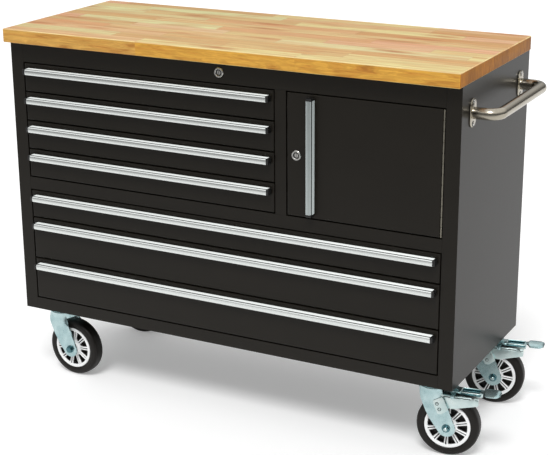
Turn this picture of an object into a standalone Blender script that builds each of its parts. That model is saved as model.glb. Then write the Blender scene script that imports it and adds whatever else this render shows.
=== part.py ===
"""Mobile tool cart with a wooden worktop, seven drawers, a cupboard and four casters.

Cabinet coordinates: x runs from the left side (0) to the right side, y from the front
face (0) to the back, z from the underside of the cabinet (0) upwards. Everything hangs
on one empty, which stands the wheels on z = 0 with the whole cart centred over the origin.
All lengths are in metres.
"""

import math

import bmesh
import bpy
from mathutils import Matrix, Vector

# Cabinet body, folded from sheet steel
CABINET_WIDTH = 1.168
CABINET_DEPTH = 0.441
CABINET_HEIGHT = 0.693
SHEET = 0.001
SEAT_GAP = 0.0003
REVEAL = 0.003
LIP = 0.012
REAR_FLANGE = 0.020

# Front frame around the drawers and the door
STILE = 0.035
CENTRE_STILE = 0.0276
UPPER_BANK_WIDTH = 0.6912
TOP_RAIL = 0.049
MID_RAIL = 0.031
BOTTOM_RAIL = 0.0305
UPPER_DRAWERS = 4
LOWER_TALL_DRAWERS = 2

# Worktop of glued hardwood staves
WORKTOP_THICKNESS = 0.033
WORKTOP_SIDE_OVERHANG = 0.003
WORKTOP_FRONT_OVERHANG = 0.025
WORKTOP_CORNER = 0.004
WORKTOP_EDGE = 0.002

# Drawers: a folded front pan with a tray behind it
FRONT_DEPTH = 0.018
FRONT_EDGE = 0.002
TRAY_REAR_CLEARANCE = 0.0287
TRAY_DROP = 0.012
TRAY_LIFT = 0.006

# Ball-bearing slides: the cabinet rail and the drawer member that runs in it
SLIDE_THICKNESS = 0.0127
RAIL_HEIGHT = 0.034
RAIL_SHEET = 0.0012
RAIL_SETBACK = 0.022
RAIL_REAR_CLEARANCE = 0.0187
MEMBER_THICKNESS = 0.010
POST_LENGTH = 0.030
STRIP_THICKNESS = 0.0015

# Pull handles: an extruded channel, open below, with an end cap at each end
HANDLE_PROJECTION = 0.0178
HANDLE_PLATE = 0.0139
HANDLE_WALL = 0.002
HANDLE_STEP = 0.0013
HANDLE_GROOVE = 0.0028
HANDLE_FLANGE = 0.012
HANDLE_CAP = 0.0065
HANDLE_INSET = 0.006
HANDLE_DROP = 0.0113
DOOR_HANDLE_SETBACK = 0.0543

# Cupboard door and its piano hinge
DOOR_DEPTH = 0.018
HINGE_RADIUS = 0.0026
HINGE_LEAF = 0.0008
HINGE_LEAF_WIDTH = 0.011

# Keyed cam locks
LOCK_FLANGE_RADIUS = 0.012
LOCK_FLANGE = 0.003
LOCK_BODY_RADIUS = 0.0095
LOCK_BORE = 0.007
LOCK_LENGTH = 0.018
LOCK_NUT_RADIUS = 0.013
LOCK_NUT = 0.0037
PLUG_RECESS = 0.0015
KEY_SLOT_WIDTH = 0.0012
KEY_SLOT_LENGTH = 0.008
KEY_SLOT_DEPTH = 0.004
CAM_THICKNESS = 0.002
CAM_WIDTH = 0.009
MAIN_CAM_REACH = 0.020
DOOR_LOCK_SETBACK = 0.0234
DOOR_CAM_REACH = 0.034

# Side handle: a bent tube on two oblong flanges
SIDE_TUBE_RADIUS = 0.013
SIDE_STANDOFF = 0.0575
SIDE_BEND = 0.052
SIDE_HANDLE_INSET = 0.063
SIDE_HANDLE_DROP = 0.0685
FLANGE_THICKNESS = 0.0025
FLANGE_WIDTH = 0.036
FLANGE_HEIGHT = 0.063
FLANGE_CORNER = 0.016

# Casters
WHEEL_HEADROOM = 0.039
CASTER_SIDE_INSET = 0.0683
CASTER_FRONT_INSET = 0.063
TRAIL = 0.0384
PLATE_LENGTH = 0.104
PLATE_WIDTH = 0.086
PLATE_THICKNESS = 0.004
HEAD_RADIUS = 0.031
HEAD_DROP = 0.014
CROWN_RADIUS = 0.034
CROWN_THICKNESS = 0.009
FORK_TOP = 0.020
FORK_FRONT = 0.0285
FORK_REAR = 0.024
FORK_END_RADIUS = 0.021
FORK_WIDTH = 0.058
FORK_WALL = 0.004
AXLE_RADIUS = 0.005
AXLE_HEAD_RADIUS = 0.0095
AXLE_HEAD = 0.006

# Wheels: a spoked rim in a solid tyre
WHEEL_RADIUS = 0.074
TYRE_WIDTH = 0.036
RIM_RADIUS = 0.054
RIM_WIDTH = 0.0344
RIM_LIP = 0.006
WEB_THICKNESS = 0.026
HUB_RADIUS = 0.016
WINDOW_COUNT = 10
WINDOW_HUB_MARGIN = 0.008
WINDOW_RIM_MARGIN = 0.0045
WINDOW_INNER_WIDTH = 0.008
WINDOW_OUTER_WIDTH = 0.019

# Foot brake on the two right-hand casters
BRAKE_ARM_TOP = 0.031
BRAKE_ARM_START = 0.020
BRAKE_ARM_REACH = 0.110
BRAKE_ARM_HEIGHT = 0.033
BRAKE_ARM_TIP_HEIGHT = 0.0185
BRAKE_ARM_WALL = 0.003
BRAKE_ARM_LAP = 0.001
PIVOT_X = 0.050
PIVOT_DROP = 0.0335
PIVOT_RADIUS = 0.003
LEVER_TOP = 0.0235
LEVER_WIDTH = 0.030
LEVER_HEIGHT = 0.007
LEVER_HEEL = 0.008
LEVER_REACH = 0.112
NECK_WIDTH = 0.020
SPOON_START = 0.117
SPOON_TIP = 0.1565
SPOON_WIDTH = 0.045
SPOON_TOP = 0.020
SPOON_THICKNESS = 0.008
SPOON_CORNER = 0.014

# Turned shapes, bends and cutters
WHEEL_STEPS = 36
ROUND_SIDES = 20
BEND_STEPS = 6
CORNER_STEPS = 4
CUT_OVERRUN = 0.005
MERGE_DISTANCE = 0.00001

# One caster in each corner: name, on the right, at the back, swivel angle, wheel angle, brake
CASTERS = (
    ("front_left", False, False, -3, 24, False),
    ("front_right", True, False, 8, 33, True),
    ("rear_left", False, True, 4, 10, False),
    ("rear_right", True, True, 10, 12, True),
)

# Finishes: colour, roughness, metallic
FINISHES = {
    "black powder coat": ((0.022, 0.021, 0.020), 0.45, 0.0),
    "hardwood": ((0.60, 0.36, 0.15), 0.45, 0.0),
    "anodised aluminium": ((0.62, 0.64, 0.65), 0.32, 1.0),
    "brushed stainless": ((0.56, 0.53, 0.48), 0.30, 1.0),
    "zinc plate": ((0.55, 0.62, 0.63), 0.35, 1.0),
    "chrome": ((0.70, 0.70, 0.70), 0.12, 1.0),
    "slide steel": ((0.50, 0.51, 0.52), 0.40, 1.0),
    "rubber": ((0.018, 0.018, 0.018), 0.75, 0.0),
    "silver plastic": ((0.72, 0.72, 0.72), 0.35, 0.0),
}

# Sizes that follow from the driving dimensions
BANK_HEIGHT = (CABINET_HEIGHT - TOP_RAIL - MID_RAIL - BOTTOM_RAIL) / 2
SMALL_FRONT = (BANK_HEIGHT - (UPPER_DRAWERS + 1) * REVEAL) / UPPER_DRAWERS
TALL_FRONT = (BANK_HEIGHT - (LOWER_TALL_DRAWERS + 2) * REVEAL - SMALL_FRONT) / LOWER_TALL_DRAWERS
LOWER_TOP = BOTTOM_RAIL + BANK_HEIGHT
DIVIDER_TOP = LOWER_TOP + MID_RAIL
UPPER_TOP = CABINET_HEIGHT - TOP_RAIL
PARTITION_X = STILE + UPPER_BANK_WIDTH
CUPBOARD_X = PARTITION_X + CENTRE_STILE
RIGHT_STILE_X = CABINET_WIDTH - STILE
INNER_DEPTH = CABINET_DEPTH - 2 * SHEET - SEAT_GAP
TRAY_END = INNER_DEPTH - TRAY_REAR_CLEARANCE
RAIL_END = INNER_DEPTH - RAIL_REAR_CLEARANCE
MEMBER_END = RAIL_END - POST_LENGTH
WORKTOP_BASE = CABINET_HEIGHT + SEAT_GAP
HINGE_X = RIGHT_STILE_X - SEAT_GAP - HINGE_LEAF - HINGE_RADIUS
HINGE_Y = HINGE_RADIUS + SEAT_GAP
DOOR_LEFT = CUPBOARD_X + REVEAL
DOOR_RIGHT = HINGE_X - HINGE_RADIUS - SEAT_GAP
DOOR_BOTTOM = DIVIDER_TOP + REVEAL
DOOR_TOP = UPPER_TOP - REVEAL
AXLE_DROP = WHEEL_HEADROOM + WHEEL_RADIUS
FORK_INNER = FORK_WIDTH / 2 - FORK_WALL
SIDE_HANDLE_Z = CABINET_HEIGHT - SIDE_HANDLE_DROP
MAIN_LOCK_X = CABINET_WIDTH / 2
MAIN_LOCK_Z = CABINET_HEIGHT - TOP_RAIL / 2


def new_collection(name):
    collection = bpy.data.collections.new(name)
    bpy.context.scene.collection.children.link(collection)
    return collection


def clear_scene():
    for item in list(bpy.data.objects):
        bpy.data.objects.remove(item)


clear_scene()
CART = new_collection("tool_cart")
CUTTERS = new_collection("cutters")


def finish_material(finish):
    """One Principled material for each finish, made when it is first used."""
    if finish in bpy.data.materials:
        return bpy.data.materials[finish]
    colour, roughness, metallic = FINISHES[finish]
    material = bpy.data.materials.new(finish)
    material.use_nodes = True
    shader = material.node_tree.nodes["Principled BSDF"]
    shader.inputs["Base Color"].default_value = (*colour, 1)
    shader.inputs["Roughness"].default_value = roughness
    shader.inputs["Metallic"].default_value = metallic
    return material


def add_part(name, mesh, finish, parent, location=(0, 0, 0), rotation=(0, 0, 0)):
    part = bpy.data.objects.new(name, mesh)
    mesh.materials.clear()
    mesh.materials.append(finish_material(finish))
    part.parent = parent
    part.location = location
    part.rotation_euler = rotation
    CART.objects.link(part)
    return part


def add_empty(name, parent, location=(0, 0, 0), turn=0):
    empty = bpy.data.objects.new(name, None)
    empty.parent = parent
    empty.location = location
    empty.rotation_euler = (0, 0, turn)
    empty.empty_display_size = REAR_FLANGE
    CART.objects.link(empty)
    return empty


def mesh_from(shape, name):
    mesh = bpy.data.meshes.new(name)
    shape.to_mesh(mesh)
    shape.free()
    return mesh


def box(low, high, name="box"):
    shape = bmesh.new()
    bmesh.ops.create_cube(shape, size=1)
    low, high = Vector(low), Vector(high)
    size = high - low
    bmesh.ops.scale(shape, vec=size, verts=shape.verts)
    bmesh.ops.translate(shape, vec=(low + high) / 2, verts=shape.verts)
    return mesh_from(shape, name)


def cylinder(start, end, radius, sides=ROUND_SIDES, name="cylinder"):
    start, end = Vector(start), Vector(end)
    along = end - start
    turn = Vector((0, 0, 1)).rotation_difference(along).to_matrix().to_4x4()
    shape = bmesh.new()
    bmesh.ops.create_cone(
        shape, cap_ends=True, segments=sides, radius1=radius, radius2=radius,
        depth=along.length, matrix=Matrix.Translation((start + end) / 2) @ turn)
    smooth_sides(shape)
    return mesh_from(shape, name)


def smooth_sides(shape):
    """Shade the quads of a turned shape smooth and leave its flat ends flat."""
    for face in shape.faces:
        face.smooth = len(face.verts) == 4


def outline_prism(outlines, thickness, matrix=None, name="prism"):
    """Flat outlines, as a filled 2D curve with depth, turned into a mesh."""
    curve = bpy.data.curves.new(name, "CURVE")
    curve.dimensions = "2D"
    curve.fill_mode = "BOTH"
    curve.extrude = thickness / 2
    for points in outlines:
        spline = curve.splines.new("POLY")
        spline.points.add(len(points) - 1)
        for point, (x, y) in zip(spline.points, points):
            point.co = (x, y, 0, 1)
        spline.use_cyclic_u = True
    mesh = mesh_of_curve(curve)
    if matrix:
        mesh.transform(matrix)
    return mesh


def mesh_of_curve(curve):
    holder = bpy.data.objects.new(curve.name, curve)
    CUTTERS.objects.link(holder)
    bpy.context.view_layer.update()
    evaluated = holder.evaluated_get(bpy.context.evaluated_depsgraph_get())
    mesh = bpy.data.meshes.new_from_object(evaluated)
    bpy.data.objects.remove(holder)
    shape = bmesh.new()
    shape.from_mesh(mesh)
    bmesh.ops.remove_doubles(shape, verts=shape.verts, dist=MERGE_DISTANCE)
    shape.to_mesh(mesh)
    shape.free()
    return mesh


def arc(centre, radius, start, end, steps):
    """Points on an arc, both ends included, with angles in degrees."""
    points = []
    for step in range(steps + 1):
        angle = math.radians(start + (end - start) * step / steps)
        points.append((centre[0] + radius * math.cos(angle), centre[1] + radius * math.sin(angle)))
    return points


def rounded_rectangle(low, high, radius, steps=CORNER_STEPS):
    (left, bottom), (right, top) = low, high
    points = arc((right - radius, top - radius), radius, 0, 90, steps)
    points += arc((left + radius, top - radius), radius, 90, 180, steps)
    points += arc((left + radius, bottom + radius), radius, 180, 270, steps)
    points += arc((right - radius, bottom + radius), radius, 270, 360, steps)
    return points


# How the (u, v) plane of a folded path and its length w sit in x, y, z
PLANES = {
    "xy": lambda u, v, w: (u, v, w),
    "yz": lambda u, v, w: (w, u, v),
    "zx": lambda u, v, w: (v, w, u),
}


def folded_sheet(path, plane, low, high, name="sheet"):
    """An open strip along a folded path, walked with the outside on the right hand."""
    place = PLANES[plane]
    shape = bmesh.new()
    rows = [[shape.verts.new(place(u, v, w)) for w in (low, high)] for u, v in path]
    for near, far in zip(rows, rows[1:]):
        shape.faces.new((near[0], far[0], far[1], near[1]))
    shape.normal_update()
    return mesh_from(shape, name)


def add_thickness(part, thickness):
    solidify = part.modifiers.new("thickness", "SOLIDIFY")
    solidify.thickness = thickness
    solidify.offset = -1
    solidify.use_even_offset = True


def turned(profile, name="turned", steps=WHEEL_STEPS):
    """A closed (radius, height) profile round local z; its outer side runs downwards."""
    shape = bmesh.new()
    points = [shape.verts.new((radius, 0, height)) for radius, height in profile]
    for near, far in zip(points, points[1:] + points[:1]):
        shape.edges.new((near, far))
    return mesh_from(shape, name), steps


def add_turned(name, profile, finish, parent, location=(0, 0, 0), rotation=(0, 0, 0), steps=WHEEL_STEPS):
    mesh, steps = turned(profile, name, steps)
    part = add_part(name, mesh, finish, parent, location, rotation)
    screw = part.modifiers.new("turn", "SCREW")
    screw.axis = "Z"
    screw.steps = steps
    screw.render_steps = steps
    screw.use_merge_vertices = True
    screw.merge_threshold = MERGE_DISTANCE
    screw.use_smooth_shade = True
    return part


def combine(part, mesh, operation, label):
    """Join a helper mesh to the part or cut it away; the helper uses the part's own coordinates."""
    helper = bpy.data.objects.new(f"{part.name}.{label}", mesh)
    helper.parent = part
    helper.hide_render = True
    helper.display_type = "WIRE"
    CUTTERS.objects.link(helper)
    boolean = part.modifiers.new(label, "BOOLEAN")
    boolean.operation = operation
    boolean.object = helper
    return helper


def cut(part, mesh, label):
    return combine(part, mesh, "DIFFERENCE", label)


def join(part, mesh, label):
    return combine(part, mesh, "UNION", label)


def rounded_slab(low, high, corner, edge):
    """A slab with rounded vertical corners and softened top and bottom edges."""
    shape = bmesh.new()
    shape.from_mesh(box(low, high))
    upright = [e for e in shape.edges if is_along(e, 2)]
    bmesh.ops.bevel(
        shape, geom=upright, offset=corner, offset_type="OFFSET", segments=CORNER_STEPS,
        profile=0.5, affect="EDGES")
    rims = [e for e in shape.edges if any(len(f.verts) > 4 for f in e.link_faces)]
    bmesh.ops.bevel(
        shape, geom=rims, offset=edge, offset_type="OFFSET", segments=2, profile=0.5, affect="EDGES")
    return mesh_from(shape, "slab")


def is_along(edge, axis):
    step = edge.verts[1].co - edge.verts[0].co
    return abs(step[axis]) > step.length / 2


def eased_front(low, high):
    """A slab whose four front edges, at its lowest y, are rounded."""
    shape = bmesh.new()
    shape.from_mesh(box(low, high))
    front = [e for e in shape.edges if all(abs(v.co.y - low[1]) < MERGE_DISTANCE for v in e.verts)]
    bmesh.ops.bevel(
        shape, geom=front, offset=FRONT_EDGE, offset_type="OFFSET", segments=2, profile=0.5,
        affect="EDGES")
    return mesh_from(shape, "front")


def add_side_panel(name, frame, on_right):
    path = [(REAR_FLANGE, CABINET_DEPTH), (0, CABINET_DEPTH), (0, 0), (STILE, 0), (STILE, LIP)]
    if on_right:
        path = [(CABINET_WIDTH - x, y) for x, y in reversed(path)]
    mesh = folded_sheet(path, "xy", 0, CABINET_HEIGHT, name)
    add_thickness(add_part(name, mesh, "black powder coat", frame), SHEET)


def add_deck(name, frame, path, finish):
    """A folded deck between the side panels, notched at the front to clear the stiles."""
    inset = SHEET + SEAT_GAP
    mesh = folded_sheet(path, "yz", inset, CABINET_WIDTH - inset, name)
    deck = add_part(name, mesh, finish, frame)
    add_thickness(deck, SHEET)
    notch = STILE + SEAT_GAP
    for label, left, right in (
            ("left notch", -CUT_OVERRUN, notch),
            ("right notch", CABINET_WIDTH - notch, CABINET_WIDTH + CUT_OVERRUN)):
        low = (left, -CUT_OVERRUN, -CUT_OVERRUN)
        high = (right, LIP + SEAT_GAP, CABINET_HEIGHT + CUT_OVERRUN)
        cut(deck, box(low, high), label)
    return deck


def add_cabinet(frame):
    add_side_panel("side_panel_left", frame, False)
    add_side_panel("side_panel_right", frame, True)
    front_y = (LIP, 0)
    top = add_deck("top_frame", frame, [
        (INNER_DEPTH - SEAT_GAP, CABINET_HEIGHT), (front_y[1], CABINET_HEIGHT),
        (front_y[1], UPPER_TOP), (front_y[0], UPPER_TOP)], "black powder coat")
    add_deck("divider_shelf", frame, [
        (INNER_DEPTH - SEAT_GAP, DIVIDER_TOP), (front_y[1], DIVIDER_TOP),
        (front_y[1], LOWER_TOP), (front_y[0], LOWER_TOP)], "black powder coat")
    add_deck("floor_panel", frame, [
        (front_y[0], BOTTOM_RAIL), (front_y[1], BOTTOM_RAIL), (front_y[1], 0),
        (INNER_DEPTH - SEAT_GAP, 0)], "black powder coat")
    cut(top, lock_hole(MAIN_LOCK_X, MAIN_LOCK_Z), "lock hole")
    add_partition(frame)
    inset = SHEET + SEAT_GAP
    back_y = INNER_DEPTH
    low = (inset, back_y, 0)
    high = (CABINET_WIDTH - inset, back_y + SHEET, CABINET_HEIGHT)
    add_part("back_panel", box(low, high, "back_panel"), "black powder coat", frame)


def add_partition(frame):
    path = [
        (PARTITION_X, INNER_DEPTH - SEAT_GAP), (PARTITION_X, 0), (CUPBOARD_X, 0), (CUPBOARD_X, LIP)]
    bottom = DIVIDER_TOP + SEAT_GAP
    top = CABINET_HEIGHT - SHEET - SEAT_GAP
    mesh = folded_sheet(path, "xy", bottom, top, "partition")
    partition = add_part("partition", mesh, "black powder coat", frame)
    add_thickness(partition, SHEET)
    low = (PARTITION_X - CUT_OVERRUN, -CUT_OVERRUN, UPPER_TOP - SEAT_GAP)
    high = (CUPBOARD_X + CUT_OVERRUN, LIP + SEAT_GAP, top + CUT_OVERRUN)
    cut(partition, box(low, high), "rail notch")


def add_worktop(frame):
    low = (-WORKTOP_SIDE_OVERHANG, -WORKTOP_FRONT_OVERHANG, WORKTOP_BASE)
    high = (CABINET_WIDTH + WORKTOP_SIDE_OVERHANG, CABINET_DEPTH, WORKTOP_BASE + WORKTOP_THICKNESS)
    mesh = rounded_slab(low, high, WORKTOP_CORNER, WORKTOP_EDGE)
    add_part("worktop", mesh, "hardwood", frame)


def drawer_table():
    """Name, left and right edge and bottom and top edge of each drawer front, top drawer first."""
    fronts = []
    top = UPPER_TOP - REVEAL
    for number in range(1, UPPER_DRAWERS + 1):
        fronts.append((f"drawer_{number}", STILE, PARTITION_X, top - SMALL_FRONT, top))
        top -= SMALL_FRONT + REVEAL
    top = LOWER_TOP - REVEAL
    for step in range(LOWER_TALL_DRAWERS + 1):
        height = TALL_FRONT if step else SMALL_FRONT
        number = UPPER_DRAWERS + 1 + step
        fronts.append((f"drawer_{number}", STILE, RIGHT_STILE_X, top - height, top))
        top -= height + REVEAL
    return fronts


def add_drawer(frame, name, left, right, bottom, top):
    """A drawer: its front pan, tray, two slide members and pull handle, on one sliding empty."""
    carriage = add_empty(f"{name}_slide", frame, (left, 0, bottom))
    width = right - left
    height = top - bottom
    front_low = (REVEAL, 0, 0)
    front_high = (width - REVEAL, FRONT_DEPTH, height)
    drawer = add_part(f"{name}_box", eased_front(front_low, front_high), "black powder coat", carriage)
    pan_low = (REVEAL + SHEET, SHEET, -CUT_OVERRUN)
    pan_high = (width - REVEAL - SHEET, FRONT_DEPTH - SHEET, height - SHEET)
    cut(drawer, box(pan_low, pan_high), "front pan")
    tray_left = SLIDE_THICKNESS
    tray_right = width - SLIDE_THICKNESS
    tray_top = height - TRAY_DROP
    join(drawer, box((tray_left, FRONT_DEPTH - SHEET / 2, TRAY_LIFT),
                     (tray_right, TRAY_END, tray_top)), "tray")
    cut(drawer, box((tray_left + SHEET, FRONT_DEPTH, TRAY_LIFT + SHEET),
                    (tray_right - SHEET, TRAY_END - SHEET, height + CUT_OVERRUN)), "tray hollow")
    member_low = height / 2 - RAIL_HEIGHT / 2 + RAIL_SHEET + SEAT_GAP
    member_high = height / 2 + RAIL_HEIGHT / 2 - RAIL_SHEET - SEAT_GAP
    for label, inner, outer in (
            ("left slide member", tray_left + SHEET / 2, tray_left - MEMBER_THICKNESS),
            ("right slide member", tray_right - SHEET / 2, tray_right + MEMBER_THICKNESS)):
        low = (min(inner, outer), RAIL_SETBACK, member_low)
        high = (max(inner, outer), MEMBER_END, member_high)
        join(drawer, box(low, high), label)
    add_pull_handle(
        f"{name}_handle", carriage, width - 2 * REVEAL - 2 * HANDLE_INSET,
        (REVEAL + HANDLE_INSET, -SEAT_GAP, height - HANDLE_DROP), (0, 0, 0))


def handle_outline():
    """Section of the pull: v is up, u is out of the front, both from the plate's top edge.

    The web falls a little from the rear to a groove behind the plate's lip.
    """
    outer = HANDLE_PROJECTION - SEAT_GAP
    plate_back = outer - HANDLE_WALL
    groove = -HANDLE_STEP
    web_bottom = groove - HANDLE_WALL
    flange_bottom = groove - HANDLE_FLANGE
    return [
        (0, 0), (plate_back - HANDLE_GROOVE, groove), (plate_back, groove), (plate_back, 0), (outer, 0),
        (outer, -HANDLE_PLATE), (plate_back, -HANDLE_PLATE), (plate_back, web_bottom),
        (HANDLE_WALL, web_bottom), (HANDLE_WALL, flange_bottom), (0, flange_bottom)]


def add_pull_handle(name, parent, length, location, rotation):
    """The handle runs along local x; its section lies in local -y and z."""
    section = Matrix(((0, 0, 1, 0), (-1, 0, 0, 0), (0, 1, 0, 0), (0, 0, 0, 1)))
    middle = Matrix.Translation((length / 2, 0, 0))
    bar = outline_prism([handle_outline()], length - HANDLE_CAP, middle @ section, name)
    handle = add_part(name, bar, "anodised aluminium", parent, location, rotation)
    reach = HANDLE_PROJECTION - SEAT_GAP
    for label, start, end in (
            ("left cap", 0, HANDLE_CAP), ("right cap", length - HANDLE_CAP, length)):
        join(handle, box((start, -reach, -HANDLE_PLATE), (end, 0, 0)), label)
    return handle


def rail_path(wall, opening):
    """C section of a cabinet rail between its wall side and its open side, in (z, x)."""
    half = RAIL_HEIGHT / 2
    path = [(half, opening), (half, wall), (-half, wall), (-half, opening)]
    return path if opening < wall else list(reversed(path))


def add_runner_rack(name, frame, fronts, wall, face, opening, bottom, top):
    """Two posts against a wall that carry one cabinet rail for each drawer of the bank."""
    post_low = min(wall, face)
    post_high = max(wall, face)
    rack = add_part(
        name, box((post_low, RAIL_SETBACK, bottom), (post_high, RAIL_SETBACK + POST_LENGTH, top), name),
        "slide steel", frame)
    join(rack, box((post_low, MEMBER_END, bottom), (post_high, RAIL_END, top)), "rear post")
    inside = 1 if opening > face else -1
    for number, (_, _, _, low, high) in enumerate(fronts, 1):
        path = rail_path(face - inside * STRIP_THICKNESS / 2, opening)
        centre = (low + high) / 2
        path = [(z + centre, x) for z, x in path]
        rail = folded_sheet(path, "zx", RAIL_SETBACK, RAIL_END, "rail")
        helper = join(rack, rail, f"rail {number}")
        add_thickness(helper, RAIL_SHEET)


def add_runner_racks(frame):
    fronts = drawer_table()
    upper = fronts[:UPPER_DRAWERS]
    lower = fronts[UPPER_DRAWERS:]
    lower_bottom = SHEET + SEAT_GAP
    lower_top = DIVIDER_TOP - SHEET - SEAT_GAP
    upper_bottom = DIVIDER_TOP + SEAT_GAP
    upper_top = CABINET_HEIGHT - SHEET - SEAT_GAP
    left_wall = SHEET + SEAT_GAP
    left_opening = STILE + SLIDE_THICKNESS - SEAT_GAP
    right_wall = CABINET_WIDTH - left_wall
    right_opening = CABINET_WIDTH - left_opening
    web = PARTITION_X - SEAT_GAP
    web_opening = PARTITION_X - SLIDE_THICKNESS + SEAT_GAP
    add_runner_rack("runner_rack_upper_left", frame, upper, left_wall, STILE, left_opening,
                    upper_bottom, upper_top)
    add_runner_rack("runner_rack_upper_right", frame, upper, web, web - STRIP_THICKNESS, web_opening,
                    upper_bottom, upper_top)
    add_runner_rack("runner_rack_lower_left", frame, lower, left_wall, STILE, left_opening,
                    lower_bottom, lower_top)
    add_runner_rack("runner_rack_lower_right", frame, lower, right_wall, RIGHT_STILE_X, right_opening,
                    lower_bottom, lower_top)


def lock_hole(x, z):
    radius = LOCK_BODY_RADIUS + SEAT_GAP
    return cylinder((x, -CUT_OVERRUN, z), (x, SHEET + CUT_OVERRUN, z), radius)


def lock_profile():
    """Barrel section: flange, threaded body and the nut that traps the sheet."""
    bevel = LOCK_FLANGE - PLUG_RECESS
    nut_face = -SHEET - SEAT_GAP
    return [
        (LOCK_BORE + PLUG_RECESS, LOCK_FLANGE), (LOCK_FLANGE_RADIUS - PLUG_RECESS, LOCK_FLANGE),
        (LOCK_FLANGE_RADIUS, bevel), (LOCK_FLANGE_RADIUS, SEAT_GAP), (LOCK_BODY_RADIUS, SEAT_GAP),
        (LOCK_BODY_RADIUS, nut_face), (LOCK_NUT_RADIUS, nut_face),
        (LOCK_NUT_RADIUS, nut_face - LOCK_NUT), (LOCK_BODY_RADIUS, nut_face - LOCK_NUT),
        (LOCK_BODY_RADIUS, -LOCK_LENGTH), (LOCK_BORE, -LOCK_LENGTH), (LOCK_BORE, bevel)]


def add_lock(name, parent, location, cam_direction, cam_reach):
    """A cam lock: barrel fixed in the sheet, and the plug with its cam that the key turns."""
    facing = (math.pi / 2, 0, 0)
    add_turned(f"{name}_barrel", lock_profile(), "chrome", parent, location, facing, ROUND_SIDES)
    radius = LOCK_BORE - SEAT_GAP
    cam_front = LOCK_LENGTH + SEAT_GAP
    cam_back = cam_front + CAM_THICKNESS
    face = PLUG_RECESS - LOCK_FLANGE + SEAT_GAP
    plug = add_part(
        f"{name}_plug", cylinder((0, face, 0), (0, cam_back, 0), radius), "chrome", parent, location)
    slot_low = (-KEY_SLOT_WIDTH / 2, face - CUT_OVERRUN, -KEY_SLOT_LENGTH / 2)
    slot_high = (KEY_SLOT_WIDTH / 2, face + KEY_SLOT_DEPTH, KEY_SLOT_LENGTH / 2)
    cut(plug, box(slot_low, slot_high), "key slot")
    cam = box((-CAM_WIDTH / 2, cam_front, -CAM_WIDTH / 2), (cam_reach, cam_back, CAM_WIDTH / 2))
    cam.transform(Matrix.Rotation(math.radians(cam_direction), 4, "Y"))
    join(plug, cam, "cam")
    return plug


def add_door(frame):
    """The cupboard door, its hinge, handle and lock; the swinging empty is on the hinge axis."""
    swing = add_empty("door_swing", frame, (HINGE_X, HINGE_Y, DOOR_BOTTOM))
    left = DOOR_LEFT - HINGE_X
    right = DOOR_RIGHT - HINGE_X
    height = DOOR_TOP - DOOR_BOTTOM
    front = -HINGE_Y
    back = front + DOOR_DEPTH
    door = add_part(
        "door_panel", eased_front((left, front, 0), (right, back, height)), "black powder coat", swing)
    cut(door, box((left + SHEET, front + SHEET, SHEET),
                  (right - SHEET, back + CUT_OVERRUN, height - SHEET)), "door hollow")
    lock_x = left + DOOR_LOCK_SETBACK
    hole = lock_hole(lock_x, height / 2)
    hole.transform(Matrix.Translation((0, front, 0)))
    cut(door, hole, "lock hole")
    upright = (0, math.pi / 2, 0)
    add_pull_handle(
        "door_handle", swing, height - 2 * HANDLE_INSET,
        (left + DOOR_HANDLE_SETBACK + HANDLE_PLATE, front - SEAT_GAP, height - HANDLE_INSET), upright)
    add_lock("door_lock", swing, (lock_x, front, height / 2), 90, DOOR_CAM_REACH)
    add_hinge(frame)


def add_hinge(frame):
    """Piano hinge: the knuckle beside the door edge and the leaf fixed to the stile."""
    height = DOOR_TOP - DOOR_BOTTOM
    knuckle = cylinder((0, 0, 0), (0, 0, height), HINGE_RADIUS, CORNER_STEPS * 4)
    hinge = add_part("door_hinge", knuckle, "brushed stainless", frame, (HINGE_X, HINGE_Y, DOOR_BOTTOM))
    leaf_low = (HINGE_RADIUS - HINGE_LEAF / 2, 0, 0)
    leaf_high = (HINGE_RADIUS + HINGE_LEAF, HINGE_LEAF_WIDTH, height)
    leaf = box(leaf_low, leaf_high)
    join(hinge, leaf, "leaf")


def add_side_handle(frame):
    front = SIDE_HANDLE_INSET
    rear = CABINET_DEPTH - SIDE_HANDLE_INSET
    flange_face = CABINET_WIDTH + SEAT_GAP + FLANGE_THICKNESS
    start = flange_face + SEAT_GAP
    run = CABINET_WIDTH + SIDE_STANDOFF
    path = [(start, front)]
    path += arc((run - SIDE_BEND, front + SIDE_BEND), SIDE_BEND, -90, 0, BEND_STEPS)
    path += arc((run - SIDE_BEND, rear - SIDE_BEND), SIDE_BEND, 0, 90, BEND_STEPS)
    path.append((start, rear))
    curve = bpy.data.curves.new("side_handle_tube", "CURVE")
    curve.dimensions = "3D"
    curve.bevel_depth = SIDE_TUBE_RADIUS
    curve.bevel_resolution = CORNER_STEPS
    curve.use_fill_caps = True
    spline = curve.splines.new("POLY")
    spline.points.add(len(path) - 1)
    for point, (x, y) in zip(spline.points, path):
        point.co = (x, y, SIDE_HANDLE_Z, 1)
    tube = mesh_of_curve(curve)
    tube.shade_smooth()
    tube.set_sharp_from_angle(angle=math.radians(40))
    add_part("side_handle_tube", tube, "brushed stainless", frame)
    outline = rounded_rectangle(
        (-FLANGE_WIDTH / 2, -FLANGE_HEIGHT / 2), (FLANGE_WIDTH / 2, FLANGE_HEIGHT / 2), FLANGE_CORNER)
    upright = Matrix(((0, 0, 1, 0), (1, 0, 0, 0), (0, 1, 0, 0), (0, 0, 0, 1)))
    for label, y in (("front", front), ("rear", rear)):
        flange = outline_prism([outline], FLANGE_THICKNESS, upright, "flange")
        x = flange_face - FLANGE_THICKNESS / 2
        add_part(f"side_handle_flange_{label}", flange, "brushed stainless", frame,
                 (x, y, SIDE_HANDLE_Z))


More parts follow.
